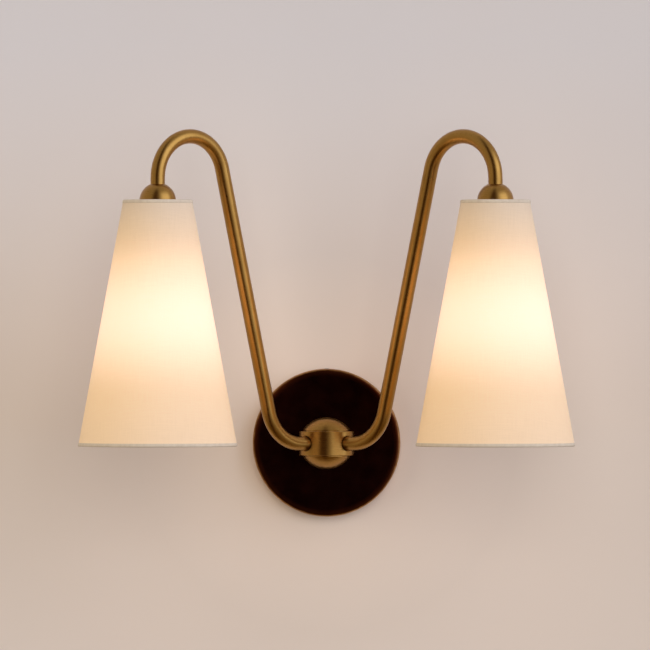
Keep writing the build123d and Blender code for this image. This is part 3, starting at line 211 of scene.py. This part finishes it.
def moulded(name, colour, roughness, grain):
    """A hard moulding with a faint grain, slightly uneven in colour and gloss."""
    made, tree, shader = start_finish(name)
    place = place_on_object(tree)
    patches = add_noise(tree, place, 120, 3)
    give_tones(tree, shader, spread(tree, patches, 0.3, 0.7), colour, darken(colour, 0.82))
    uneven_gloss = spread(tree, patches, 0.3, 0.7, roughness, roughness + 0.12)
    tree.links.new(uneven_gloss, shader.inputs["Roughness"])
    add_bump(tree, shader, add_noise(tree, place, grain, 2), 0.12)
    return made


give_finish(moulded("cream_moulding", CREAM, 0.42, 1800), "terminal_block")
give_finish(moulded("gold_sheath", GOLD, 0.38, 1500), *both("lead"))
give_finish(moulded("green_sheath", GREEN, 0.4, 1500), "earth_wire")


# ---------------------------------------------------------------- wall plate
# A spun brass pan, oil rubbed until it is nearly black. Hands and polish have burnished its rounded rim
# back to brass, and the dark coat thins out towards it in a ragged line.

PLATE_RADIUS = 0.0625
COAT_THINS_FROM = PLATE_RADIUS - 0.006
COAT_THIN_AT = PLATE_RADIUS - 0.001
BARE_FROM = PLATE_RADIUS - 0.0016
BARE_AT = PLATE_RADIUS - 0.0003
RAGGEDNESS = 0.0003  # how far the coat's edge wanders in and out
DARK_COAT = (0.014, 0.003, 0.0025)
PALER_COAT = (0.026, 0.006, 0.004)
THIN_COAT = (0.085, 0.022, 0.007)
BARE_BRASS = (0.52, 0.29, 0.11)
BARE_BRASS_SHADED = (0.34, 0.17, 0.06)


def work_out(tree, operation, first, second=None):
    """A sum on one or two values, each a number or another node's value."""
    step = add_node(tree, "Math", operation=operation)
    for socket, value in zip(step.inputs, (first, second)):
        if isinstance(value, (int, float)):
            socket.default_value = value
        elif value is not None:
            tree.links.new(value, socket)
    return step.outputs["Value"]


def split_place(tree, place):
    """A place's X, Y and Z."""
    parts = add_node(tree, "SeparateXYZ")
    tree.links.new(place, parts.inputs["Vector"])
    return parts.outputs["X"], parts.outputs["Y"], parts.outputs["Z"]


def reach_of(tree, place):
    """How far a place is from the middle."""
    reach = add_node(tree, "VectorMath", operation="LENGTH")
    tree.links.new(place, reach.inputs[0])
    return reach.outputs["Value"]


plate_finish, tree, shader = start_metal("oil_rubbed_plate")
place = place_on_object(tree)
flat_place = add_node(tree, "VectorMath", operation="MULTIPLY")
flat_place.inputs[1].default_value = (1, 0, 1)
tree.links.new(place, flat_place.inputs[0])
radius = reach_of(tree, flat_place.outputs["Vector"])
ragged = spread(tree, add_noise(tree, place, 180, 5, 0.6), 0.3, 0.7, -RAGGEDNESS, RAGGEDNESS)
wavy_radius = work_out(tree, "ADD", radius, ragged)
thin_coat = spread(tree, wavy_radius, COAT_THINS_FROM, COAT_THIN_AT)
rubbed = spread(tree, wavy_radius, BARE_FROM, BARE_AT)
mottle = spread(tree, add_noise(tree, place, 55, 5, 0.6), 0.35, 0.7)
coat = mix_colours(tree, mottle, DARK_COAT, PALER_COAT)
browned = mix_colours(tree, thin_coat, coat, THIN_COAT)
bare = mix_colours(tree, mottle, BARE_BRASS, BARE_BRASS_SHADED)
give_tones(tree, shader, rubbed, browned, bare)
tree.links.new(spread(tree, mottle, 0, 1, 0.34, 0.46), shader.inputs["Roughness"])
spun_lines = add_node(tree, "CombineXYZ")
tree.links.new(radius, spun_lines.inputs["X"])
add_bump(tree, shader, add_noise(tree, spun_lines.outputs["Vector"], 2400, 3), 0.12)
give_finish(plate_finish, "wall_plate")


# ---------------------------------------------------------------- neck, hub, arms and cups
# Turned, spun and bent brass, rubbed by hand to a satin antique tone. The colour is deeper in patches, and
# fine turning lines run round the hub and the cups, while those on the arms run along the tube.

ANTIQUE_BRASS = (0.44, 0.242, 0.062)
DEEPER_BRASS = (0.37, 0.196, 0.046)
BRASS_IN_LINES = (0.27, 0.127, 0.022)
LINES_SHOW = 0.22  # how far the colour goes towards that of the lines
ROUND_THE_UPRIGHT = (60, 60, 2600)
ROUND_THE_NECK = (60, 2600, 60)
ALONG_THE_TUBE = (1500, 1500, 70)


def antique_brass(name, lines_along):
    """Satin brass with brush lines. The stretch is large across the lines and small along them."""
    made, tree, shader = start_metal(name)
    place = place_on_object(tree)
    patches = spread(tree, add_noise(tree, place, 46, 5, 0.6), 0.32, 0.7)
    tone = mix_colours(tree, patches, ANTIQUE_BRASS, DEEPER_BRASS)
    lines = add_noise(tree, place_on_object(tree, stretch=lines_along), 1, 4, 0.6)
    give_tones(tree, shader, spread(tree, lines, 0.3, 0.7, 0, LINES_SHOW), tone, BRASS_IN_LINES)
    tree.links.new(spread(tree, lines, 0.25, 0.75, 0.25, 0.34), shader.inputs["Roughness"])
    add_bump(tree, shader, lines, 0.05)
    return made


give_finish(
    antique_brass("brass_turned", ROUND_THE_UPRIGHT), "hub_body", "hub_cap_top", "hub_cap_bottom"
)
give_finish(antique_brass("brass_turned_neck", ROUND_THE_NECK), "neck")
give_finish(antique_brass("brass_spun_cup", ROUND_THE_UPRIGHT), *both("cup"))
give_finish(antique_brass("brass_tube", ALONG_THE_TUBE), *both("arm"))


# ---------------------------------------------------------------- lampholders and shade rings
# The caps and barrels that take the lamps, and the threaded ring below each shade's fitter, milled for the
# fingers. They are a hard black moulding with a fine gloss, and so is the insulator at each lamp's tip.

BLACK = (0.018, 0.017, 0.016)

give_finish(
    moulded("black_moulding", BLACK, 0.26, 1400),
    *both("holder_cap", "holder_barrel", "shade_ring", "lamp_tip"),
)


# ---------------------------------------------------------------- shade fitters and wires
# Steel wire and a pressed washer, welded together and powder coated in warm white. The coat is thinner in
# spots, and has the fine orange peel that baking leaves.

POWDER = (0.76, 0.72, 0.64)
THIN_POWDER = (0.62, 0.58, 0.50)

powder, tree, shader = start_finish("white_powder_coat")
place = place_on_object(tree)
thin_spots = spread(tree, add_noise(tree, place, 300, 4), 0.45, 0.75)
give_tones(tree, shader, thin_spots, POWDER, THIN_POWDER)
shader.inputs["Roughness"].default_value = 0.48
add_bump(tree, shader, add_noise(tree, place, 2200, 2), 0.35)
give_finish(powder, *both("shade_fitter", "shade_wire"))


# ---------------------------------------------------------------- lamps
# Frosted glass tubes that glow evenly, each with the bright source on its stem inside and a nickelled screw
# cap. The cap's thread is rolled in thin sheet, so its turns are wide and round.

GLASS = (0.93, 0.86, 0.74)
FROSTED_GLASS = (0.86, 0.78, 0.65)
GLASS_LIGHT = (1.0, 0.80, 0.52)
GLASS_STRENGTH = 2.6
SOURCE = (0.95, 0.78, 0.45)
SOURCE_GRAIN = (0.9, 0.68, 0.34)
SOURCE_LIGHT = (1.0, 0.78, 0.45)
SOURCE_STRENGTH = 4.0
NICKEL = (0.70, 0.68, 0.62)
DULLED_NICKEL = (0.55, 0.52, 0.46)
CAP_PITCH = 0.0028
CAP_THREAD_DEPTH = 0.0007


def give_light(shader, colour, strength):
    """Lets a finish give light of its own."""
    shader.inputs["Emission Color"].default_value = (*colour, 1)
    shader.inputs["Emission Strength"].default_value = strength


glow_glass, tree, shader = start_finish("glowing_glass")
place = place_on_object(tree)
frost = spread(tree, add_noise(tree, place, 900, 3), 0.3, 0.7)
give_tones(tree, shader, frost, GLASS, FROSTED_GLASS)
tree.links.new(spread(tree, frost, 0, 1, 0.45, 0.6), shader.inputs["Roughness"])
give_light(shader, GLASS_LIGHT, GLASS_STRENGTH)
give_finish(glow_glass, *both("lamp_glass"))

source_finish, tree, shader = start_finish("light_source")
place = place_on_object(tree)
grain = spread(tree, add_noise(tree, place, 700, 2), 0.3, 0.7)
give_tones(tree, shader, grain, SOURCE, SOURCE_GRAIN)
give_light(shader, SOURCE_LIGHT, SOURCE_STRENGTH)
give_finish(source_finish, *both("lamp_emitter"))

nickel, tree, shader = start_metal("nickelled_cap")
place = place_on_object(tree)
dulled = spread(tree, add_noise(tree, place, 260, 3), 0.35, 0.7)
give_tones(tree, shader, dulled, NICKEL, DULLED_NICKEL)
tree.links.new(spread(tree, dulled, 0, 1, 0.22, 0.38), shader.inputs["Roughness"])
add_bump(tree, shader, add_bands(tree, place, "Z", CAP_PITCH), 0.7, CAP_THREAD_DEPTH)
give_finish(nickel, *both("lamp_cap"))


# ---------------------------------------------------------------- shade linen
# Off-white linen laminated to a stiff translucent liner, cut as a flat sector, rolled into a cone and lapped
# at the back by 4 to 10 mm. The lamp's glow through it, strongest at the lamp's height, is painted on as
# emission.

SHADE_X = 0.14
SHADE_Y = -0.169474
TOP_EDGE = 0.2035  # of the rolled hem, as is the bottom edge
BOTTOM_EDGE = -0.001
LINEN_TOP = 0.2029
LINEN_BOTTOM = -0.0004
TOP_RADIUS = 0.0285
SLOPE = 0.18337  # the radius gained per metre down from the top edge
FIRST_TURN = radians(352)  # before the cloth rises over its own first edge
LAP_ANGLE = radians(9)
LAP_RAISE = 0.00035
LAP_SOFTENING = 0.006  # radians over which the lap's shadow fades in
# Painted shade: the lap's glow is painted dimmer, as its two layers let less light through.
LAP_GLOW = 0.7
LINEN_THICKNESS = 0.0007
THREAD_SPACING = 0.0006
SMOOTH_BELOW = radians(35)
LINEN = (0.68, 0.56, 0.44)
# Painted light: the colours, heights and shares below paint the lamp's glow and the lampholder's shade.
WARM_GLOW = (0.42, 0.215, 0.045)
LAMP_GLOW = (0.38, 0.29, 0.29)  # more where the lamp's own light shows
LAMP_HEIGHT = 0.107
LAMP_SHOWS = (0.070, 0.002)  # distances from its height where it starts to show and is full
HOLDER_SHADOW = (0.152, 0.207)  # heights where it starts and is full
GLOW_IN_SHADOW = 0.12
BOTTOM_FADE = (-0.01, 0.07)  # heights where it is full and starts
GLOW_AT_BOTTOM = 0.62


def linen_radius(height):
    """The outer radius of the linen at a height."""
    return TOP_RADIUS + (TOP_EDGE - height) * SLOPE


def select_all(action):
    """Selects or deselects the whole mesh, in edit mode."""
    bpy.ops.mesh.select_all(action=action)


def add_object(add, name, **where):
    """Adds a primitive with everything else deselected, and names it."""
    bpy.ops.object.select_all(action="DESELECT")
    add(**where)
    made = bpy.context.object
    made.name = name
    made.data.name = name
    return made


def unroll(mesh, centre, half_angle):
    """Lays the piece's own map as the flat cut: straight grain down the front of the cone, in metres."""
    layer = mesh.uv_layers.new(name="cut")
    for polygon in mesh.polygons:
        middle = polygon.center - centre
        usual = atan2(middle.x, -middle.y)
        for loop in polygon.loop_indices:
            point = mesh.vertices[mesh.loops[loop].vertex_index].co - centre
            turn = atan2(point.x, -point.y)
            if turn - usual > pi:
                turn -= 2 * pi
            elif usual - turn > pi:
                turn += 2 * pi
            reach = hypot(point.x, point.y) / sin(half_angle)
            swing = turn * sin(half_angle)
            layer.data[loop].uv = (reach * sin(swing), -reach * cos(swing))


def away_from(tree, value, middle):
    """How far a value is from a middle, to either side."""
    return work_out(tree, "ABSOLUTE", work_out(tree, "SUBTRACT", value, middle))


def painted_lamp_glow(tree, shader, middle):
    """Painted light: the lamp's glow through the cloth, painted on as emission by height. Its own white
    light shows close to it. The rest is warm from the liner, with painted shade from the lampholder above,
    and is painted fainter towards the open bottom. The lap is two layers, so its glow is painted dimmer."""
    across, depth, height = split_place(tree, place_on_object(tree, middle))
    below_holder = spread(tree, height, *HOLDER_SHADOW, 1, GLOW_IN_SHADOW)
    above_bottom = spread(tree, height, *BOTTOM_FADE, GLOW_AT_BOTTOM, 1)
    warmth = work_out(tree, "MULTIPLY", below_holder, above_bottom)
    warm = mix_colours(tree, warmth, (0, 0, 0), WARM_GLOW)
    near = spread(tree, away_from(tree, height, LAMP_HEIGHT), *LAMP_SHOWS)
    near.node.interpolation_type = "SMOOTHSTEP"
    tree.links.new(mix_colours(tree, near, warm, LAMP_GLOW, "ADD"), shader.inputs["Emission Color"])
    around = work_out(tree, "ARCTAN2", across, depth)
    past_first = spread(tree, around, 0, LAP_SOFTENING)
    before_last = spread(tree, around, LAP_ANGLE, LAP_ANGLE - LAP_SOFTENING)
    in_lap = work_out(tree, "MULTIPLY", past_first, before_last)
    tree.links.new(spread(tree, in_lap, 0, 1, 1, LAP_GLOW), shader.inputs["Emission Strength"])


def linen_finish(name, middle):
    """Woven linen: two sets of threads, with slubs along both, and the lamp's glow through it painted on."""
    made, tree, shader = start_finish(name)
    cut = add_node(tree, "UVMap", uv_map="cut").outputs["UV"]
    threads = []
    slubs = []
    for direction, stretch in (("X", (900, 60, 1)), ("Y", (60, 900, 1))):
        threads.append(
            add_bands(tree, cut, direction, THREAD_SPACING, Distortion=0.8, Detail=1.0, Detail_Scale=0.6)
        )
        long_way = add_node(tree, "Mapping")
        long_way.inputs["Scale"].default_value = stretch
        tree.links.new(cut, long_way.inputs["Vector"])
        slubs.append(add_noise(tree, long_way.outputs["Vector"], 1, 2))
    cloth = work_out(tree, "MAXIMUM", *threads)
    slub = work_out(tree, "MULTIPLY", *slubs)
    give_tones(tree, shader, spread(tree, slub, 0.15, 0.38), LINEN, darken(LINEN, 0.95))
    shader.inputs["Roughness"].default_value = 0.88
    shader.inputs["Sheen Weight"].default_value = 0.15
    shader.inputs["Sheen Roughness"].default_value = 0.5
    add_bump(tree, shader, cloth, 0.25, 0.00015)
    add_bump(tree, shader, slub, 0.35, 0.0003)
    painted_lamp_glow(tree, shader, middle)
    return made


left_centre = Vector((-SHADE_X, SHADE_Y, 0))
half_angle = atan2(SLOPE, 1)
seam_way = Vector((0, 1, 0))

linen = add_object(bpy.ops.mesh.primitive_plane_add, "shade_linen_left", size=0.01)
bpy.ops.object.mode_set(mode="EDIT")
select_all("DESELECT")
bpy.ops.object.mode_set(mode="OBJECT")
for vertex in linen.data.vertices:
    vertex.select = vertex.co.x > 0
bpy.ops.object.mode_set(mode="EDIT")
bpy.ops.mesh.delete(type="VERT")
bpy.ops.object.mode_set(mode="OBJECT")
for vertex, height in zip(linen.data.vertices, (LINEN_BOTTOM, LINEN_TOP)):
    vertex.co = left_centre + seam_way * linen_radius(height) + Vector((0, 0, height))
bpy.ops.object.mode_set(mode="EDIT")
select_all("SELECT")
bpy.ops.mesh.subdivide(number_cuts=15)
rising_turn = 2 * pi - FIRST_TURN
for steps, turn, outward in ((176, FIRST_TURN, 0), (3, rising_turn, LAP_RAISE), (5, LAP_ANGLE, 0)):
    bpy.ops.mesh.spin(steps=steps, angle=turn, center=left_centre, axis=(0, 0, 1))
    bpy.ops.transform.translate(value=seam_way * outward)
select_all("SELECT")
bpy.ops.mesh.normals_make_consistent(inside=False)
bpy.ops.object.mode_set(mode="OBJECT")
bpy.ops.object.transform_apply(location=True, rotation=True, scale=True)
unroll(linen.data, left_centre, half_angle)
thicken = linen.modifiers.new("liner", "SOLIDIFY")
thicken.thickness = LINEN_THICKNESS
thicken.offset = -1
bpy.ops.object.modifier_apply(modifier="liner")
bpy.ops.object.shade_smooth_by_angle(angle=SMOOTH_BELOW)


# ---------------------------------------------------------------- rolled hems
# A strip of the same linen is rolled over each wire and glued down, so each edge of a shade ends in a firm
# round roll. It is cut on the bias, and gathers a little as it goes round the wire.

HEM_HEIGHT = 0.0032
HEM_INNER = 0.0035
HEM_PROUD = 0.0004
HEM_ROUNDING = 0.0011
HEM = (0.70, 0.59, 0.46)
# Painted shade: the hem's tone in the folds of its gathers.
HEM_PAINTED_SHADE_IN_FOLDS = (0.62, 0.51, 0.39)

rolls = []
for edge_height, upward in ((TOP_EDGE, -1), (BOTTOM_EDGE, 1)):
    roll = add_object(bpy.ops.mesh.primitive_plane_add, "hem_roll", size=1, rotation=(pi / 2, 0, 0))
    bpy.ops.object.transform_apply(location=True, rotation=True, scale=True)
    low_edge, high_edge = sorted((edge_height, edge_height + upward * HEM_HEIGHT))
    for vertex in roll.data.vertices:
        height = high_edge if vertex.co.z > 0 else low_edge
        outward = HEM_PROUD if vertex.co.x < 0 else -HEM_INNER
        vertex.co = left_centre + Vector((-linen_radius(height) - outward, 0, height))
    bpy.ops.object.mode_set(mode="EDIT")
    select_all("SELECT")
    bpy.ops.mesh.bevel(offset=HEM_ROUNDING, segments=5, affect="VERTICES")
    bpy.ops.mesh.delete(type="ONLY_FACE")
    select_all("SELECT")
    bpy.ops.mesh.spin(steps=180, angle=2 * pi, center=left_centre, axis=(0, 0, 1))
    select_all("SELECT")
    bpy.ops.mesh.remove_doubles(threshold=0.00001)
    bpy.ops.mesh.normals_make_consistent(inside=False)
    bpy.ops.object.mode_set(mode="OBJECT")
    rolls.append(roll)
for roll in rolls:
    roll.select_set(True)
bpy.ops.object.join()
hem = bpy.context.object
unroll(hem.data, left_centre, half_angle)
bpy.ops.object.shade_smooth_by_angle(angle=SMOOTH_BELOW)


def hem_finish(name, centre):
    """The rolled strip: the linen again, on the bias, denser and so darker, with soft gathers and painted
    shade in their folds.
    """
    made, tree, shader = start_finish(name)
    gathers = add_noise(tree, place_on_object(tree, centre, stretch=(260, 260, 40)), 1, 3)
    fine = add_noise(tree, place_on_object(tree, centre, turn=(0, 0, radians(45))), 1700, 2)
    # Painted shade: the hem is darker along the gathers, by the same noise that gives their bump.
    give_tones(tree, shader, spread(tree, gathers, 0.3, 0.7), HEM, HEM_PAINTED_SHADE_IN_FOLDS)
    shader.inputs["Roughness"].default_value = 0.9
    add_bump(tree, shader, fine, 0.3, 0.0002)
    add_bump(tree, shader, gathers, 0.3, 0.0005)
    return made


def to_right(piece, name):
    """A copy of a left piece, with its own mesh, at the right shade."""
    bpy.ops.object.select_all(action="DESELECT")
    bpy.context.view_layer.objects.active = piece
    piece.select_set(True)
    bpy.ops.object.duplicate()
    made = bpy.context.object
    made.name = name
    made.data.name = name
    bpy.ops.transform.translate(value=(2 * SHADE_X, 0, 0))
    bpy.ops.object.transform_apply(location=True, rotation=True, scale=True)
    return made


hem.name = "shade_hems_left"
linens = {"left": linen, "right": to_right(linen, "shade_linen_right")}
hems = {"left": hem, "right": to_right(hem, "shade_hems_right")}
for side, way in SIDES.items():
    centre = (way * SHADE_X, SHADE_Y, 0)
    piece = linens[side]
    roll = hems[side]
    piece.data.materials.append(linen_finish(f"linen_{side}", centre))
    roll.data.materials.append(hem_finish(f"hem_linen_{side}", centre))
    body = f"shade_{side}"
    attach(piece, body)
    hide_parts(f"shade_cone_{side}")
    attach(roll, body)
    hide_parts(f"shade_trim_{side}")


# ---------------------------------------------------------------- wall
# A painted wall, pale pinkish beige, with faint roller marks and a wall box's round hole behind the plate.
# The lit shades' light is painted into it: a paler, warmer patch round the plate, and warmer paint low
# down than high up. It is clear from behind and to diffuse light, so that the sconce's back shows.

HOLE_RADIUS = 0.054
WALL_Y = 0.0004  # just clear of the plate's rim and the bracket
WALL_TO_HOLE = 40  # the wall's size over its hole's
# Painted light: the paint is warmer low down, where the lamps' light falls, and more neutral high up.
PAINT_LOW_WITH_PAINTED_LIGHT = (0.765, 0.665, 0.58)
PAINT_HIGH_WITH_PAINTED_LIGHT = (0.70, 0.66, 0.65)
PAINTED_GLOW_BY_PLATE = (0.99, 0.85, 0.74)
PAINT_CLOUDED = (0.66, 0.54, 0.47)

wall = add_object(
    bpy.ops.mesh.primitive_circle_add, "wall", vertices=96, radius=HOLE_RADIUS, location=(0, WALL_Y, 0),
    rotation=(pi / 2, 0, 0),
)
bpy.ops.object.transform_apply(location=True, rotation=True, scale=True)
bpy.ops.object.mode_set(mode="EDIT")
select_all("SELECT")
bpy.ops.mesh.extrude_edges_move()
bpy.ops.transform.resize(value=(WALL_TO_HOLE, 1, WALL_TO_HOLE), center_override=(0, WALL_Y, 0))
select_all("SELECT")
bpy.ops.mesh.flip_normals()
bpy.ops.object.mode_set(mode="OBJECT")
paint, tree, shader = start_finish("wall_paint")
place = place_on_object(tree)
height = split_place(tree, place)[2]
# Painted light: warmer low down and more neutral high up.
tone = mix_colours(tree, spread(tree, height, 0.02, 0.34), PAINT_LOW_WITH_PAINTED_LIGHT, PAINT_HIGH_WITH_PAINTED_LIGHT)
# Painted light: paler and warmer round the plate, where the lit shades light the wall.
painted_glow_near_plate = spread(tree, reach_of(tree, place), 0.06, 0.16, 0.6, 0)
tone = mix_colours(tree, painted_glow_near_plate, tone, PAINTED_GLOW_BY_PLATE)
clouds = spread(tree, add_noise(tree, place, 5, 3), 0.35, 0.65, 0, 0.06)
give_tones(tree, shader, clouds, tone, PAINT_CLOUDED)
shader.inputs["Roughness"].default_value = 0.75
shader.inputs["Specular IOR Level"].default_value = 0.2
add_bump(tree, shader, add_noise(tree, place, 420, 3), 0.05, 0.0004)
clear = add_node(tree, "BsdfTransparent")
choose = add_node(tree, "MixShader")
from_behind = add_node(tree, "NewGeometry").outputs["Backfacing"]
diffuse_ray = add_node(tree, "LightPath").outputs["Is Diffuse Ray"]
tree.links.new(work_out(tree, "MAXIMUM", from_behind, diffuse_ray), choose.inputs["Fac"])
tree.links.new(shader.outputs["BSDF"], choose.inputs[1])
tree.links.new(clear.outputs["BSDF"], choose.inputs[2])
tree.links.new(choose.outputs["Shader"], tree.nodes["Material Output"].inputs["Surface"])
wall.data.materials.append(paint)


# ---------------------------------------------------------------- light and camera
# A soft room with a bright window at the right, a dark doorway a little left of the camera and a dim floor,
# and large soft lamps from the right, the left and the front. The camera stands far off, level, square to
# the wall.

ROOM_AT_LEFT = (0.51, 0.445, 0.34)
ROOM_AT_RIGHT = (0.42, 0.385, 0.34)
BEHIND_WALL = (0.52, 0.50, 0.51)
CEILING = (0.48, 0.46, 0.44)
FLOOR = (0.20, 0.12, 0.03)
DOORWAY = (0.05, 0.016, 0.001)
DOORWAY_AZIMUTH = radians(-12)  # round from the camera's side, towards the right
DOORWAY_EDGE = (radians(14), radians(28))  # to either side of it, where the dark starts to end and ends
WINDOW = (1.70, 1.85, 2.25)
WINDOW_AZIMUTH = radians(57)
WINDOW_SIDE_EDGE = (radians(20), radians(40))
WINDOW_RISE = 0.28
WINDOW_LEVEL_EDGE = (0.26, 0.58)
CAMERA_SEES = (0.66, 0.56, 0.49)
LAMPS_AIM = Vector((0, -0.08, 0.1))
CAMERA_PLACE = (-0.0013, -7.6, 0.0996)
FOCAL_LENGTH = 496.4
SENSOR_WIDTH = 36

world = bpy.data.worlds.new("room")
bpy.context.scene.world = world
world.use_nodes = True
tree = world.node_tree
backdrop = tree.nodes["Background"]
rightward, backward, upward = split_place(tree, add_node(tree, "TexCoord").outputs["Generated"])
azimuth = work_out(tree, "ARCTAN2", rightward, work_out(tree, "MULTIPLY", backward, -1))
off_doorway = spread(tree, away_from(tree, azimuth, DOORWAY_AZIMUTH), *DOORWAY_EDGE)
beside_window = spread(tree, away_from(tree, azimuth, WINDOW_AZIMUTH), *WINDOW_SIDE_EDGE, 1, 0)
level_with_window = spread(tree, away_from(tree, upward, WINDOW_RISE), *WINDOW_LEVEL_EDGE, 1, 0)
in_window = work_out(tree, "MULTIPLY", beside_window, level_with_window)
room = mix_colours(tree, spread(tree, rightward, -0.3, 0.5), ROOM_AT_LEFT, ROOM_AT_RIGHT)
room = mix_colours(tree, spread(tree, backward, 0.1, 0.6), room, BEHIND_WALL)
room = mix_colours(tree, spread(tree, upward, 0.15, 0.9), room, CEILING)
room = mix_colours(tree, spread(tree, upward, -0.15, -0.75), room, FLOOR)
room = mix_colours(tree, off_doorway, DOORWAY, room)
room = mix_colours(tree, in_window, room, WINDOW)
camera_ray = add_node(tree, "LightPath").outputs["Is Camera Ray"]
tree.links.new(mix_colours(tree, camera_ray, room, CAMERA_SEES), backdrop.inputs["Color"])
backdrop.inputs["Strength"].default_value = 1.0


def add_lamp(name, where, size, power, colour):
    """A square area lamp that faces the sconce. The room's window stands for it in the metal's gloss."""
    bpy.ops.object.light_add(type="AREA", location=where)
    lamp = bpy.context.object
    lamp.name = name
    lamp.data.size = size
    lamp.data.energy = power
    lamp.data.color = colour
    lamp.visible_glossy = False
    lamp.rotation_euler = (LAMPS_AIM - Vector(where)).to_track_quat("-Z", "Y").to_euler()


add_lamp("key", (2.9, -2.0, 1.3), 2.2, 16, (1.0, 0.98, 0.97))
add_lamp("fill", (-3.0, -1.5, 0.4), 2.6, 34, (1.0, 0.96, 0.90))
add_lamp("front", (0.3, -5.0, 0.9), 2.4, 60, (1.0, 0.98, 0.95))

bpy.ops.object.camera_add(location=CAMERA_PLACE, rotation=(pi / 2, 0, 0))
camera = bpy.context.object
camera.data.sensor_width = SENSOR_WIDTH
camera.data.lens = FOCAL_LENGTH
camera.data.clip_end = 100
bpy.context.scene.camera = camera
bpy.context.scene.view_settings.view_transform = "Standard"
